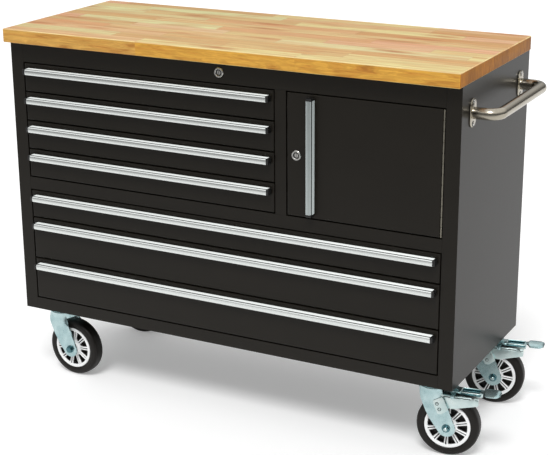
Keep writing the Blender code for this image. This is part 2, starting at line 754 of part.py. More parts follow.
# Fork leg outline: share across from one edge to the axle, share of the drop to the axle
FRONT_EDGE_SHARES = ((0.0, 0.0), (0.06, 0.23), (0.27, 0.60), (0.47, 0.85))
REAR_EDGE_SHARES = ((0.69, 0.66), (0.34, 0.32), (0.11, 0.15), (0.0, 0.0))
FORK_END_START = 208
FORK_END_STOP = 370


def fork_outline():
    """Side view of a fork leg in (x, z): raked edges that close round the axle."""
    drop = AXLE_DROP - FORK_TOP
    outline = []
    for across, down in FRONT_EDGE_SHARES:
        outline.append((across * (TRAIL + FORK_FRONT) - FORK_FRONT, -FORK_TOP - down * drop))
    outline += arc((TRAIL, -AXLE_DROP), FORK_END_RADIUS, FORK_END_START, FORK_END_STOP, BEND_STEPS)
    rear_span = TRAIL + FORK_END_RADIUS - FORK_REAR
    for across, down in REAR_EDGE_SHARES:
        outline.append((FORK_REAR + across * rear_span, -FORK_TOP - down * drop))
    return outline


# Turns an (x, z) outline upright, with its thickness across the caster
ACROSS = Matrix(((1, 0, 0, 0), (0, 0, -1, 0), (0, 1, 0, 0), (0, 0, 0, 1)))


def add_caster_plate(name, frame, location):
    half_length = PLATE_LENGTH / 2
    half_width = PLATE_WIDTH / 2
    top = -SEAT_GAP
    bottom = top - PLATE_THICKNESS
    plate = add_part(
        f"{name}_plate", box((-half_length, -half_width, bottom), (half_length, half_width, top)),
        "zinc plate", frame, location)
    head = cylinder((0, 0, bottom + PLATE_THICKNESS / 2), (0, 0, -HEAD_DROP), HEAD_RADIUS)
    join(plate, head, "swivel head")


def add_caster_fork(name, swivel, braked):
    fork = add_part(
        f"{name}_fork", outline_prism([fork_outline()], FORK_WIDTH, ACROSS, "fork"), "zinc plate", swivel)
    crown_top = -HEAD_DROP - SEAT_GAP
    crown = cylinder((0, 0, crown_top - CROWN_THICKNESS), (0, 0, crown_top), CROWN_RADIUS)
    join(fork, crown, "crown")
    reach = AXLE_DROP + WHEEL_RADIUS
    slot_low = (-reach, -FORK_INNER, -reach)
    slot_high = (reach, FORK_INNER, -FORK_TOP - FORK_WALL)
    cut(fork, box(slot_low, slot_high), "wheel slot")
    side = FORK_WIDTH / 2 + CUT_OVERRUN
    axle_hole = cylinder((TRAIL, -side, -AXLE_DROP), (TRAIL, side, -AXLE_DROP), AXLE_RADIUS + SEAT_GAP)
    cut(fork, axle_hole, "axle hole")
    if braked:
        add_brake_arms(fork)
        pivot_hole = cylinder((PIVOT_X, -side, -PIVOT_DROP), (PIVOT_X, side, -PIVOT_DROP),
                              PIVOT_RADIUS + SEAT_GAP, CORNER_STEPS * 3)
        cut(fork, pivot_hole, "pedal pivot hole")


def add_brake_arms(fork):
    """Two arms that reach back from the legs, one on each side of the tyre."""
    root_bottom = -BRAKE_ARM_TOP - BRAKE_ARM_HEIGHT
    outline = [
        (BRAKE_ARM_START, -BRAKE_ARM_TOP), (BRAKE_ARM_REACH, -BRAKE_ARM_TOP),
        (BRAKE_ARM_REACH, -BRAKE_ARM_TOP - BRAKE_ARM_TIP_HEIGHT),
        (PIVOT_X + PIVOT_RADIUS, root_bottom), (BRAKE_ARM_START, root_bottom)]
    middle = FORK_INNER + BRAKE_ARM_LAP - BRAKE_ARM_WALL / 2
    for label, side in (("front arm", -1), ("rear arm", 1)):
        shift = Matrix.Translation((0, side * middle, 0))
        join(fork, outline_prism([outline], BRAKE_ARM_WALL, shift @ ACROSS, "arm"), label)


def add_brake_pedal(name, swivel):
    """Foot lever on a cross pin, ending in a spoon; its origin is on the pin."""
    origin = Vector((PIVOT_X, 0, -PIVOT_DROP))
    half = LEVER_WIDTH / 2
    heel = PIVOT_X - LEVER_HEEL
    lever = box((heel, -half, -LEVER_TOP - LEVER_HEIGHT),
                (LEVER_REACH, half, -LEVER_TOP))
    lever.transform(Matrix.Translation(-origin))
    pedal = add_part(f"{name}_brake_pedal", lever, "zinc plate", swivel, origin)
    lug_low = Vector((heel, -half, -PIVOT_DROP - PIVOT_RADIUS)) - origin
    lug_high = Vector((PIVOT_X + PIVOT_RADIUS, half, -LEVER_TOP - LEVER_HEIGHT / 2)) - origin
    join(pedal, box(lug_low, lug_high), "pivot lug")
    pin_end = FORK_WIDTH / 2
    pin = cylinder((0, -pin_end, 0), (0, pin_end, 0), PIVOT_RADIUS, CORNER_STEPS * 3)
    join(pedal, pin, "pivot pin")
    neck_middle = (SPOON_TOP + SPOON_THICKNESS + LEVER_TOP) / 2
    neck_half = NECK_WIDTH / 2
    spoon_neck = box((LEVER_REACH - SPOON_THICKNESS, -neck_half, -neck_middle - SHEET),
                     (SPOON_START + SPOON_THICKNESS, neck_half, -neck_middle + SHEET))
    spoon_neck.transform(Matrix.Translation(-origin))
    join(pedal, spoon_neck, "neck")
    outline = rounded_rectangle(
        (SPOON_START, -SPOON_WIDTH / 2), (SPOON_TIP, SPOON_WIDTH / 2), SPOON_CORNER)
    level = Matrix.Translation(Vector((0, 0, -SPOON_TOP - SPOON_THICKNESS / 2)) - origin)
    join(pedal, outline_prism([outline], SPOON_THICKNESS, level, "spoon"), "spoon")


# Tyre section, bead to tread: share of the tyre's wall, share of its half width
TYRE_SECTION_SHARES = ((0.0, 0.85), (0.35, 1.0), (0.80, 0.92), (1.0, 0.50))


def tyre_profile():
    half = TYRE_WIDTH / 2
    inner = RIM_RADIUS + SEAT_GAP
    wall = WHEEL_RADIUS - inner
    upper = [(inner + out * wall, side * half) for out, side in TYRE_SECTION_SHARES]
    return upper + [(radius, -height) for radius, height in reversed(upper)]


def rim_profile():
    half = RIM_WIDTH / 2
    web = WEB_THICKNESS / 2
    barrel = RIM_RADIUS - RIM_LIP
    hub_end = FORK_INNER - SEAT_GAP
    bore = AXLE_RADIUS + SEAT_GAP
    step = SHEET * 2
    upper = [
        (bore, hub_end), (HUB_RADIUS, hub_end), (HUB_RADIUS + step, web), (barrel - step, web),
        (barrel, half), (RIM_RADIUS, half)]
    return upper + [(radius, -height) for radius, height in reversed(upper)]


def window_outlines():
    outlines = []
    inner = HUB_RADIUS + WINDOW_HUB_MARGIN
    outer = RIM_RADIUS - RIM_LIP - WINDOW_RIM_MARGIN
    corners = (
        (inner, -WINDOW_INNER_WIDTH / 2), (outer, -WINDOW_OUTER_WIDTH / 2),
        (outer, WINDOW_OUTER_WIDTH / 2), (inner, WINDOW_INNER_WIDTH / 2))
    for number in range(WINDOW_COUNT):
        turn = Matrix.Rotation(2 * math.pi * number / WINDOW_COUNT, 2)
        outlines.append([tuple(turn @ Vector(corner)) for corner in corners])
    return outlines


def add_wheel(name, swivel, spin):
    """Rim and tyre on an empty at the axle; both turn about the axle line."""
    wheel = add_empty(f"{name}_wheel", swivel, (TRAIL, 0, -AXLE_DROP))
    upright = (math.pi / 2, -math.radians(spin), 0)
    rim = add_turned(f"{name}_rim", rim_profile(), "silver plastic", wheel, rotation=upright)
    cut(rim, outline_prism(window_outlines(), TYRE_WIDTH, name="windows"), "windows")
    add_turned(f"{name}_tyre", tyre_profile(), "rubber", wheel, rotation=upright)


def add_axle(name, swivel):
    """Axle bolt: a shank through fork and hub, with a head and a nut outside the legs."""
    seat = FORK_WIDTH / 2 + SEAT_GAP
    end = seat + AXLE_HEAD
    axle = add_part(
        f"{name}_axle", cylinder((0, -end, 0), (0, end, 0), AXLE_RADIUS), "zinc plate", swivel,
        (TRAIL, 0, -AXLE_DROP))
    for label, side in (("head", -1), ("nut", 1)):
        hexagon = cylinder((0, side * seat, 0), (0, side * (end - SHEET), 0), AXLE_HEAD_RADIUS, 6)
        join(axle, hexagon, label)


def add_casters(frame):
    for corner, on_right, at_back, turn, spin, braked in CASTERS:
        name = f"caster_{corner}"
        x = CABINET_WIDTH - CASTER_SIDE_INSET if on_right else CASTER_SIDE_INSET
        y = CABINET_DEPTH - CASTER_FRONT_INSET if at_back else CASTER_FRONT_INSET
        add_caster_plate(name, frame, (x, y, 0))
        swivel = add_empty(f"{name}_swivel", frame, (x, y, 0), math.radians(turn))
        add_caster_fork(name, swivel, braked)
        add_axle(name, swivel)
        add_wheel(name, swivel, spin)
        if braked:
            add_brake_pedal(name, swivel)


def stand_on_floor(frame):
    """Put the wheels on z = 0 and centre the whole cart over the origin."""
    bpy.context.view_layer.update()
    depsgraph = bpy.context.evaluated_depsgraph_get()
    corners = []
    for part in CART.objects:
        if part.type != "MESH":
            continue
        evaluated = part.evaluated_get(depsgraph)
        mesh = evaluated.to_mesh()
        corners += [part.matrix_world @ vertex.co for vertex in mesh.vertices]
        evaluated.to_mesh_clear()
    low = Vector(min(corner[axis] for corner in corners) for axis in range(3))
    high = Vector(max(corner[axis] for corner in corners) for axis in range(3))
    frame.location = (-(low.x + high.x) / 2, -(low.y + high.y) / 2, -low.z)
    bpy.context.view_layer.update()


def build():
    frame = add_empty("cart_frame", None)
    add_cabinet(frame)
    add_worktop(frame)
    add_side_handle(frame)
    add_runner_racks(frame)
    for name, left, right, bottom, top in drawer_table():
        add_drawer(frame, name, left, right, bottom, top)
    add_door(frame)
    add_lock("main_lock", frame, (MAIN_LOCK_X, 0, MAIN_LOCK_Z), 0, MAIN_CAM_REACH)
    add_casters(frame)
    stand_on_floor(frame)


build()
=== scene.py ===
import functools
import math

import bmesh
import bpy
import numpy as np
from mathutils import Matrix, Vector


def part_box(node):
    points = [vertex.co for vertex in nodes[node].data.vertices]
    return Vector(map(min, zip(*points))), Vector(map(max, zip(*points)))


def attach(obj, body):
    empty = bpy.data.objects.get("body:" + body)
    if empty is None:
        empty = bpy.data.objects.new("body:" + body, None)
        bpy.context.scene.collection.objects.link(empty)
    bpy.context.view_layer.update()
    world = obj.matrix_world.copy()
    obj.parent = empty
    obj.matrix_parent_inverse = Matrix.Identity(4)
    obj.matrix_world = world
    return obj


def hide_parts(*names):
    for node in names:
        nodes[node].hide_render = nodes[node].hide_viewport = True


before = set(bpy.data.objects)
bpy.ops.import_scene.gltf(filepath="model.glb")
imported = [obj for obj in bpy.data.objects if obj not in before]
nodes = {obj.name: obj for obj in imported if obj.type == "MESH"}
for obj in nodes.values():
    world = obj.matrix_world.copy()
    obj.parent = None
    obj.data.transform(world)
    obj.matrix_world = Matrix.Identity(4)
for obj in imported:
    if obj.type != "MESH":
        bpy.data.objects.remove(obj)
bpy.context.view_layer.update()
origin = np.array(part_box("side_panel_left")[0])  # front bottom left corner of the cabinet, in metres
metre = 1000.0  # shapes below are worked out in millimetres from that corner: x right, y back, z up
print("frame loaded,", len(nodes), "CAD nodes")


# Camera, solved from the straight edges of the photograph
cameraValues = {
    "place": (2180.1, -2773.0, 1351.7),
    "azimuth": 27.69,
    "elevation": 18.23,
    "roll": -0.343,
    "focalPixels": 1437.0,
    "imageWidth": 550,
    "sensor": 36.0,
    "clipEnd": 100.0,
}


def addCamera(values):
    # The view direction comes from azimuth and elevation, then the frame is rolled about it
    azimuth, elevation, roll = (math.radians(values[k]) for k in ("azimuth", "elevation", "roll"))
    ahead = np.array([-math.sin(azimuth) * math.cos(elevation), math.cos(azimuth) * math.cos(elevation),
                      -math.sin(elevation)])
    level = np.array([math.cos(azimuth), math.sin(azimuth), 0])
    above = np.cross(level, ahead)
    right = math.cos(roll) * level + math.sin(roll) * above
    up = math.cos(roll) * above - math.sin(roll) * level
    data = bpy.data.cameras.new("photoCamera")
    data.sensor_fit = "HORIZONTAL"
    data.sensor_width = values["sensor"]
    data.lens = values["sensor"] * values["focalPixels"] / values["imageWidth"]
    data.clip_end = values["clipEnd"]
    camera = bpy.data.objects.new("photoCamera", data)
    place = np.array(values["place"]) / metre + origin
    turn = np.column_stack([right, up, -ahead, place])
    camera.matrix_world = Matrix(np.vstack([turn, [0, 0, 0, 1]]).tolist())
    bpy.context.scene.collection.objects.link(camera)
    bpy.context.scene.camera = camera


addCamera(cameraValues)
print("camera placed")


# Node and colour helpers
def linear(colour):
    # sRGB hex to the linear values that the shader wants
    share = np.array([int(colour[k:k + 2], 16) for k in (1, 3, 5)]) / 255
    value = np.where(share <= 0.04045, share / 12.92, ((share + 0.055) / 1.055) ** 2.4)
    return (*value.tolist(), 1.0)


def addNode(tree, kind, inputs=(), **settings):
    # Adds one node. Inputs are named, or a tuple in the sockets' own order; each is a value, a socket, or a
    # node whose first live output is linked.
    made = tree.nodes.new("ShaderNode" + kind)
    for name, value in settings.items():
        setattr(made, name, value)
    for socket, value in inputs.items() if isinstance(inputs, dict) else enumerate(inputs):
        if isinstance(value, bpy.types.Node):
            value = next(output for output in value.outputs if output.enabled)
        if isinstance(value, bpy.types.NodeSocket):
            tree.links.new(value, made.inputs[socket])
        else:
            made.inputs[socket].default_value = value
    return made


def emptyTree(owner):
    # Clears the nodes of a material or the world, and gives the call that adds one there
    owner.use_nodes = True
    owner.node_tree.nodes.clear()
    return functools.partial(addNode, owner.node_tree)


def newMaterial(name):
    # Every pattern is laid out in the piece's own coordinates
    material = bpy.data.materials.new(name)
    add = emptyTree(material)
    return material, add, add("TexCoord").outputs["Object"]


def perMetre(sizes):
    # Mapping scale that makes one unit of a pattern the given millimetres along x, y and z
    return tuple((metre / np.broadcast_to(sizes, 3)).tolist())


def addPattern(add, kind, place, sizes, inputs):
    # A texture whose unit has the given size in millimetres
    vector = add("Mapping", {"Vector": place, "Scale": perMetre(sizes)})
    return add(kind, {"Vector": vector, "Scale": 1.0, **inputs})


def addShade(add, colour, pattern, low, high, darkest, lightest):
    # The colour times a factor that goes from darkest to lightest while the pattern goes from low to high
    shade = add("MapRange", (pattern, low, high, darkest, lightest))
    return add("Mix", {0: 1.0, 6: colour, 7: shade}, data_type="RGBA", blend_type="MULTIPLY")


def addSurface(add, tone, pattern, roughness, swing, bump, constants, reach=(0.0, 1.0)):
    # The shader: its roughness swings with a pattern, and bump is a height pattern, its strength and its
    # depth in metres. What is the same all over is set on the shader's own sockets.
    gloss = add("MapRange", (pattern, reach[0], reach[1], roughness - swing, roughness + swing))
    height, strength, depth = bump
    bump = add("Bump", {"Height": height, "Strength": strength, "Distance": depth})
    shader = add("BsdfPrincipled", {"Base Color": tone, "Roughness": gloss, "Normal": bump, **constants})
    add("OutputMaterial", {"Surface": shader})


print("helpers ready")


# Materials
woodValues = {
    "staveWidth": 43.0,          # mm across the worktop
    "staveShortest": 260.0,
    "staveLongest": 520.0,
    "rowShift": 7.0,             # most lengths that one row starts before another
    "fingerPitch": 4.0,          # zigzag of the finger joints between two lengths
    "fingerReach": 2.2,
    "glueLine": 0.9,             # drawn coarser than the real 0.2 mm so that it shows
    "grainShift": 3.0,           # most metres that the grain moves from stave to stave
    "streak": (0.46, 0.72, 0.65),  # figure where the heart colour starts, is full, and its full share
    "knotShare": 0.45,           # share of the knot cells that hold a knot
    "knotWander": 0.5,
    "knotEdge": (0.04, 0.42),    # where a knot starts and ends to fade, in cells from its middle
    "rings": (34.0, 16.0),       # growth rings in radians, along the figure and into a knot
    "glossSwing": 0.06,
    "bump": (0.12, 0.0003),
    "constants": {"IOR": 1.5, "Specular IOR Level": 0.20},
}


def addStaves(add, place, palette, values):
    # Cuts the board into staves: one row for each stave width, each row cut into lengths of its own.
    # Gives a colour for each length, a random number for it and how near the closest glue line is.
    start = add("Mapping", {"Vector": place, "Scale": (metre, metre, metre),
                            "Location": tuple(-metre * np.array(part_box("worktop")[0]))})
    axes = add("SeparateXYZ", (start,))
    row = add("Math", (axes.outputs[1], values["staveWidth"]), operation="DIVIDE")
    row = add("Math", (row,), operation="FLOOR")
    rowRandom = add("TexWhiteNoise", {"W": row}, noise_dimensions="1D")
    length = add("MapRange", (rowRandom, 0, 1, values["staveShortest"], values["staveLongest"]))
    zigzag = add("Math", (axes.outputs[1], values["fingerPitch"]), operation="PINGPONG")
    zigzag = add("Math", (zigzag, values["fingerReach"] / values["fingerPitch"], axes.outputs[0]),
                 operation="MULTIPLY_ADD")
    along = add("Math", (zigzag, length), operation="DIVIDE")
    along = add("Math", (rowRandom, values["rowShift"], along), operation="MULTIPLY_ADD")
    piece = add("Math", (along,), operation="FLOOR")
    key = add("CombineXYZ", (row, piece))
    random = add("TexWhiteNoise", {"Vector": key}, noise_dimensions="2D")
    ramp = add("ValToRGB", {0: random.outputs["Value"]})
    stops = ramp.color_ramp.elements
    for k, colour in enumerate(palette):
        stop = stops[k] if k < 2 else stops.new(1)
        stop.position = k / (len(palette) - 1)
        stop.color = linear(colour)
    sideGap = add("Math", (axes.outputs[1], values["staveWidth"] / 2), operation="PINGPONG")
    endGap = add("Math", (along, 0.5), operation="PINGPONG")
    endGap = add("Math", (endGap, length), operation="MULTIPLY")
    gap = add("Math", (sideGap, endGap), operation="MINIMUM")
    return ramp, random.outputs["Color"], gap


def addWood(name, palette, heart, grainSize, figureSize, poreSize, strength, roughness, knotSize, knotDepth,
            values=woodValues):
    # Rubberwood staves, planed and oiled: pale straw to peach, streaked with the darker heart colour, with
    # fine short pores, few small knots and a soft satin gloss
    material, add, place = newMaterial(name)
    colour, random, gap = addStaves(add, place, palette, values)
    shift = add("VectorMath", (random, (values["grainShift"],) * 3), operation="MULTIPLY")
    place = add("VectorMath", (place, shift), operation="ADD")
    grain, figure, pores = (
        addPattern(add, "TexNoise", place, size, {"Detail": detail, "Distortion": distortion})
        for size, detail, distortion in ((grainSize, 5.0, 0.3), (figureSize, 2.0, 1.2), (poreSize, 2.0, 0.0)))
    start, full, share = values["streak"]
    streak = add("MapRange", (figure, start, full, 0, share))
    colour = add("Mix", {0: streak, 6: colour, 7: linear(heart)}, data_type="RGBA")
    # Knots lie in a share of the cells of a pattern that the figure pushes about
    wander = add("VectorMath", (figure.outputs["Color"], (values["knotWander"],) * 3), operation="MULTIPLY")
    knotPlace = add("Mapping", {"Vector": place, "Scale": perMetre(knotSize)})
    knotPlace = add("VectorMath", (knotPlace, wander), operation="ADD")
    cells = add("TexVoronoi", {"Vector": knotPlace, "Scale": 1.0})
    isKnot = add("SeparateColor", (cells.outputs["Color"],))
    isKnot = add("Math", (isKnot, values["knotShare"]), operation="LESS_THAN")
    start, full = values["knotEdge"]
    knot = add("MapRange", (cells, start, full, knotDepth, 0.0))
    knot = add("Math", (knot, isKnot), operation="MULTIPLY")
    colour = add("Mix", {0: knot, 6: colour, 7: linear(heart)}, data_type="RGBA")
    figureRings, knotRings = values["rings"]
    rings = add("Math", (knot, knotRings), operation="MULTIPLY")
    rings = add("Math", (figure, figureRings, rings), operation="MULTIPLY_ADD")
    rings = add("Math", (rings,), operation="SINE")
    for pattern, low, high, darkest, lightest in (
            (grain, 0.25, 0.75, 1 - strength, 1 + strength),
            (rings, -1.0, 1.0, 1 - 0.45 * strength, 1 + 0.45 * strength),
            (pores, 0.30, 0.42, 1 - 0.8 * strength, 1.0),
            (knot, 0.3, 0.9, 1.0, 1 - 1.6 * strength),
            (gap, 0.2, values["glueLine"], 0.80, 1.0)):
        colour = addShade(add, colour, pattern, low, high, darkest, lightest)
    addSurface(add, colour, grain, roughness, values["glossSwing"], (pores, *values["bump"]),
               values["constants"])
    return material


paintValues = {"ior": 1.5, "cloudShade": 0.10, "glossSwing": 0.04, "bump": (0.15, 0.0002)}


def addPaint(name, colour, roughness, peelSize, cloudSize, specular=0.5, steel=None, values=paintValues):
    # Powder coat, rubber or moulded plastic: slow clouds and a faint peel, coarser than the real 0.8 mm.
    # With steel given, all that lies beside a drawer's tray and behind its front is bare steel.
    material, add, place = newMaterial(name)
    constants = {"IOR": values["ior"], "Specular IOR Level": specular}
    clouds = addPattern(add, "TexNoise", place, cloudSize, {"Detail": 3.0})
    peel = addPattern(add, "TexNoise", place, peelSize, {"Detail": 1.0})
    tone = addShade(add, linear(colour), clouds, 0, 1, 1 - values["cloudShade"], 1 + values["cloudShade"])
    if steel:
        steelColour, middle, half, front = steel
        axes = add("SeparateXYZ", (place,))
        aside = add("Math", (axes.outputs[0], middle), operation="SUBTRACT")
        aside = add("Math", (aside,), operation="ABSOLUTE")
        beside = add("Math", (aside, half), operation="GREATER_THAN")
        behind = add("Math", (axes.outputs[1], front), operation="GREATER_THAN")
        bare = add("Math", (beside, behind), operation="MULTIPLY")
        tone = add("Mix", {0: bare, 6: tone, 7: linear(steelColour)}, data_type="RGBA")
        constants["Metallic"] = bare
    addSurface(add, tone, peel, roughness, values["glossSwing"], (peel, *values["bump"]), constants)
    return material


metalValues = {"reach": (0.25, 0.75), "bump": 0.2}  # reach of the lines' noise, strength of its bump


def addMetal(name, colour, roughness, lineSize, variation=0.06, gleam=0.06, depth=0.00005,
             values=metalValues):
    # Bare or plated metal: brushed, drawn or rolled lines of the given size in millimetres along x, y and z
    material, add, place = newMaterial(name)
    lines = addPattern(add, "TexNoise", place, lineSize, {"Detail": 3.0, "Roughness": 0.6})
    tone = addShade(add, linear(colour), lines, *values["reach"], 1 - variation, 1 + variation)
    addSurface(add, tone, lines, roughness, gleam, (lines, values["bump"], depth), {"Metallic": 1.0},
               values["reach"])
    return material


zincValues = {
    "cell": 2.6,             # spangles, fine frost and slow clouds, in mm
    "frost": 1.5,
    "cloud": 26.0,
    "cellShare": 0.12,       # how much the spangles and the frost add to the clouds
    "frostShare": 0.20,
    "reach": (0.40, 0.90),
    "glossSwing": 0.04,
    "bump": (0.05, 0.00005),
}


def addZinc(name, colour, shadow, roughness, values=zincValues):
    # Bright zinc plate with a blue passivate: slow clouds of tint under small spangles and a fine frost
    material, add, place = newMaterial(name)
    cells = addPattern(add, "TexVoronoi", place, values["cell"], {})
    frost = addPattern(add, "TexNoise", place, values["frost"], {"Detail": 3.0})
    clouds = addPattern(add, "TexNoise", place, values["cloud"], {"Detail": 2.0})
    share = add("SeparateColor", (cells.outputs["Color"],))
    share = add("Math", (share, values["cellShare"], clouds), operation="MULTIPLY_ADD")
    share = add("Math", (frost, values["frostShare"], share), operation="MULTIPLY_ADD")
    low, high = values["reach"]
    share = add("MapRange", (share, low, high, 0, 1))
    tone = add("Mix", {0: share, 6: linear(colour), 7: linear(shadow)}, data_type="RGBA")
    addSurface(add, tone, share, roughness, values["glossSwing"], (frost, *values["bump"]), {"Metallic": 1.0})
    return material


# Each finish: the function that makes it, its name and that function's values, with sizes in mm.
# Wood: staves' colours, heart colour, grain, figure and pore sizes, strength, roughness, knot size and depth.
# Paint: colour, roughness, peel and cloud sizes, specular level. Metal: colour, roughness, size of its lines.
finishes = {
    "woodTop": (  # planed face: long pale staves, straw beside peach
        addWood, "oiledRubberwoodTop",
        ("#e5d695", "#daa371", "#e2d092", "#d09d63", "#dfda9f", "#e4af88", "#dac180"), "#c87c46",
        (130, 5, 5), (230, 13, 13), (11, 1.2, 1.2), 0.11, 0.42, (190, 45, 45), 0.8),
    "woodEdge": (  # front edge: warmer and darker than the top, partly from the oil and partly painted shade
        addWood, "oiledRubberwoodEdge",
        ("#eab04a", "#dda041", "#f0c063", "#e3a744", "#f3ca74", "#d69434"), "#b8702c",
        (50, 3, 3), (100, 16, 10), (9, 1.2, 1.2), 0.15, 0.42, (74, 30, 30), 0.7),
    "woodEnd": (  # end grain: brown, partly as it drinks the most oil and partly painted shade, with short upright pores
        addWood, "oiledRubberwoodEndGrain", ("#b8751a", "#9c6214", "#c07d20", "#90560c"), "#78440a",
        (2, 1.4, 14), (20, 6, 30), (2, 1.1, 5), 0.10, 0.5, (60, 40, 40), 0.4),
    "woodArrisHighlight": (  # arris: the palest wood, a painted highlight as a bright line round the top
        addWood, "oiledRubberwoodSandedEdge", ("#f6dfa0", "#efc68a", "#f4dc9c"), "#c87c46",
        (60, 1.6, 1.6), (210, 15, 15), (11, 1.2, 1.2), 0.07, 0.36, (170, 60, 60), 0.5),
    "blackCoat": (addPaint, "blackPowderCoat", "#1d1a15", 0.34, 1.6, 90.0, 0.22),  # warm satin black
    "capPlastic": (addPaint, "mouldedBlackPlastic", "#191919", 0.38, 1.2, 20.0),
    "slotPaintedShadow": (addPaint, "blackRubberStrip", "#0b0b0b", 0.75, 1.0, 20.0, 0.15),  # painted shadow: a dull dark line in a pull's slot
    "rimPlastic": (addPaint, "silverPaintedPlastic", "#f5f6f6", 0.30, 1.2, 30.0),  # nearly white spokes
    "rimPaintedShade": (addPaint, "darkWheelCore", "#15110f", 0.6, 1.5, 12.0),             # painted shade: the windows' deep walls, the core seen through them and the spokes' grooves
    "tyreRubber": (addPaint, "solidTyreRubber", "#171411", 0.46, 1.4, 25.0, 0.28),
    # painted shadow round screw and rivet heads and in the groove between the brake arm's beads
    "zincDark": (addPaint, "darkJointBetweenPlatedParts", "#2c393b", 0.5, 1.2, 10.0),
    "aluminiumX": (addMetal, "satinAnodisedAluminium", "#eff3f1", 0.26, (120, 1.2, 1.2), 0.03, 0.04, 0.00001),
    # the same aluminium drawn darker on the door's upright pull: painted shade
    "aluminiumZ": (addMetal, "satinAnodisedAluminiumUpright", "#c9d2d1", 0.26, (1.2, 1.2, 120), 0.03, 0.04,
                   0.00001),
    "stainless": (addMetal, "brushedStainlessSteel", "#b1aa9b", 0.22, (2.5, 60, 1.0), 0.07, 0.05),
    "hingeSteel": (addMetal, "rolledHingeSteel", "#969184", 0.32, (3, 3, 9), 0.12),
    "nickel": (addMetal, "nickelPlate", "#d2d0cc", 0.16, 8, 0.03, 0.04),           # bright and slightly warm
    "slideSteel": (addMetal, "galvanisedSlideSteel", "#b9bbbd", 0.38, (1.5, 70, 1.5)),
    "zinc": (addZinc, "blueZincPlate", "#c8dedf", "#a5c2c5", 0.24),                # pale blue, clouded
    # brighter zinc: the smoother plate of the cheeks and arms, and painted highlight on the beads and rivet
    # heads
    "zincCheekAndHighlight": (addZinc, "brightZincPlate", "#dfecea", "#c6dad9", 0.30),
    "zincBolt": (addMetal, "brightZincBolt", "#c4d6d6", 0.14, 6, 0.05, 0.04),
    "zincShaded": (addMetal, "shadedZincPlate", "#5d8288", 0.22, 6, 0.05, 0.04),      # painted shade: the same zinc drawn darker on the axle bolts and the pedals' pockets
}
finish = {key: maker(*values) for key, (maker, *values) in finishes.items()}
print("materials ready")


# Shapes, in millimetres. A shape is its points and its faces.
def gridQuads(rows, columns, loopRows, loopColumns):
    # Each quad joins a point with the next in its row and the same two in the next row
    i, j = np.meshgrid(np.arange(rows if loopRows else rows - 1),
                       np.arange(columns if loopColumns else columns - 1), indexing="ij")
    nextI, nextJ = (i + 1) % rows, (j + 1) % columns
    corners = (i * columns + j, i * columns + nextJ, nextI * columns + nextJ, nextI * columns + j)
    return np.stack(corners, -1).reshape(-1, 4)


def surface(points, loopRows=False, loopColumns=False, caps=False):
    # A grid of points becomes quads; caps close its first and last rows with one face each
    rows, columns = points.shape[:2]
    faces = gridQuads(rows, columns, loopRows, loopColumns).tolist()
    if caps:
        faces += [list(range(columns)), list(range((rows - 1) * columns, rows * columns))]
    return points.reshape(-1, 3), faces


def rounded(corners, radius, steps=5, closed=True):
    # Each corner of an outline becomes an arc that touches both of its sides
    corners = np.array(corners, float)
    count = len(corners)
    radii = np.broadcast_to(radius, count)
    parts = []
    for k in range(count):
        here = corners[k]
        back, ahead = corners[k - 1] - here, corners[(k + 1) % count] - here
        backLength, aheadLength = np.linalg.norm(back), np.linalg.norm(ahead)
        half = math.acos(np.clip(back @ ahead / (backLength * aheadLength), -1, 1)) / 2
        isEnd = not closed and k in (0, count - 1)
        if isEnd or radii[k] <= 0 or half > 1.55:
            parts.append(here[None])
            continue
        reach = min(radii[k] / math.tan(half), 0.48 * backLength, 0.48 * aheadLength)
        arcRadius = reach * math.tan(half)
        back, ahead = back / backLength, ahead / aheadLength
        centre = here + (back + ahead) / np.linalg.norm(back + ahead) * arcRadius / math.sin(half)
        sweep = math.pi - 2 * half
        share = np.linspace(0, 1, steps + 1)[:, None]
        first, last = here + back * reach - centre, here + ahead * reach - centre
        arc = np.sin((1 - share) * sweep) * first + np.sin(share * sweep) * last
        parts.append(centre + arc / math.sin(sweep))
    return np.concatenate(parts)


def inset(outline, distance):
    # Every side of an anticlockwise outline moves inwards by the distance
    ahead = np.roll(outline, -1, 0) - outline
    ahead /= np.linalg.norm(ahead, axis=1, keepdims=True)
    inwards = np.stack([-ahead[:, 1], ahead[:, 0]], 1)
    both = inwards + np.roll(inwards, 1, 0)
    return outline + distance * both / np.maximum((both * both).sum(1, keepdims=True) / 2, 0.3)


def plate(outline, low, high, edge, steps=3):
    # The outline carried from low to high in rings; near both faces each ring is inset along a quarter circle
    outline = np.array(outline, float)
    after = np.roll(outline, -1, 0)
    if (outline[:, 0] * after[:, 1] - after[:, 0] * outline[:, 1]).sum() < 0:
        outline = outline[::-1]
    turn = np.linspace(0, math.pi / 2, steps + 1)
    insets = np.concatenate([edge * (1 - np.sin(turn)), edge * (1 - np.cos(turn))])
    heights = np.concatenate([low + edge * (1 - np.cos(turn)), high - edge * (1 - np.sin(turn))])
    rings = [np.column_stack([inset(outline, d), np.full(len(outline), h)]) for d, h in zip(insets, heights)]
    return surface(np.stack(rings), loopColumns=True, caps=True)


def rectangle(low, high):
    # Corners in the plane of the first two axes, anticlockwise
    return [(low[0], low[1]), (high[0], low[1]), (high[0], high[1]), (low[0], high[1])]


def block(low, high, corner, edge, steps=4):
    # A plate over a rectangle with rounded corners
    return plate(rounded(rectangle(low, high), corner, steps), low[2], high[2], edge)


def turned(profile, steps=48, loopProfile=True):
    # A (radius, height) profile carried round the z axis: x = r cos a, y = r sin a
    profile = np.array(profile, float)
    angle = np.linspace(0, 2 * math.pi, steps, endpoint=False)[:, None]
    radius, height = profile[:, 0], profile[:, 1]
    points = np.stack([radius * np.cos(angle), radius * np.sin(angle), height + 0 * angle], -1)
    return surface(points, loopRows=True, loopColumns=loopProfile)


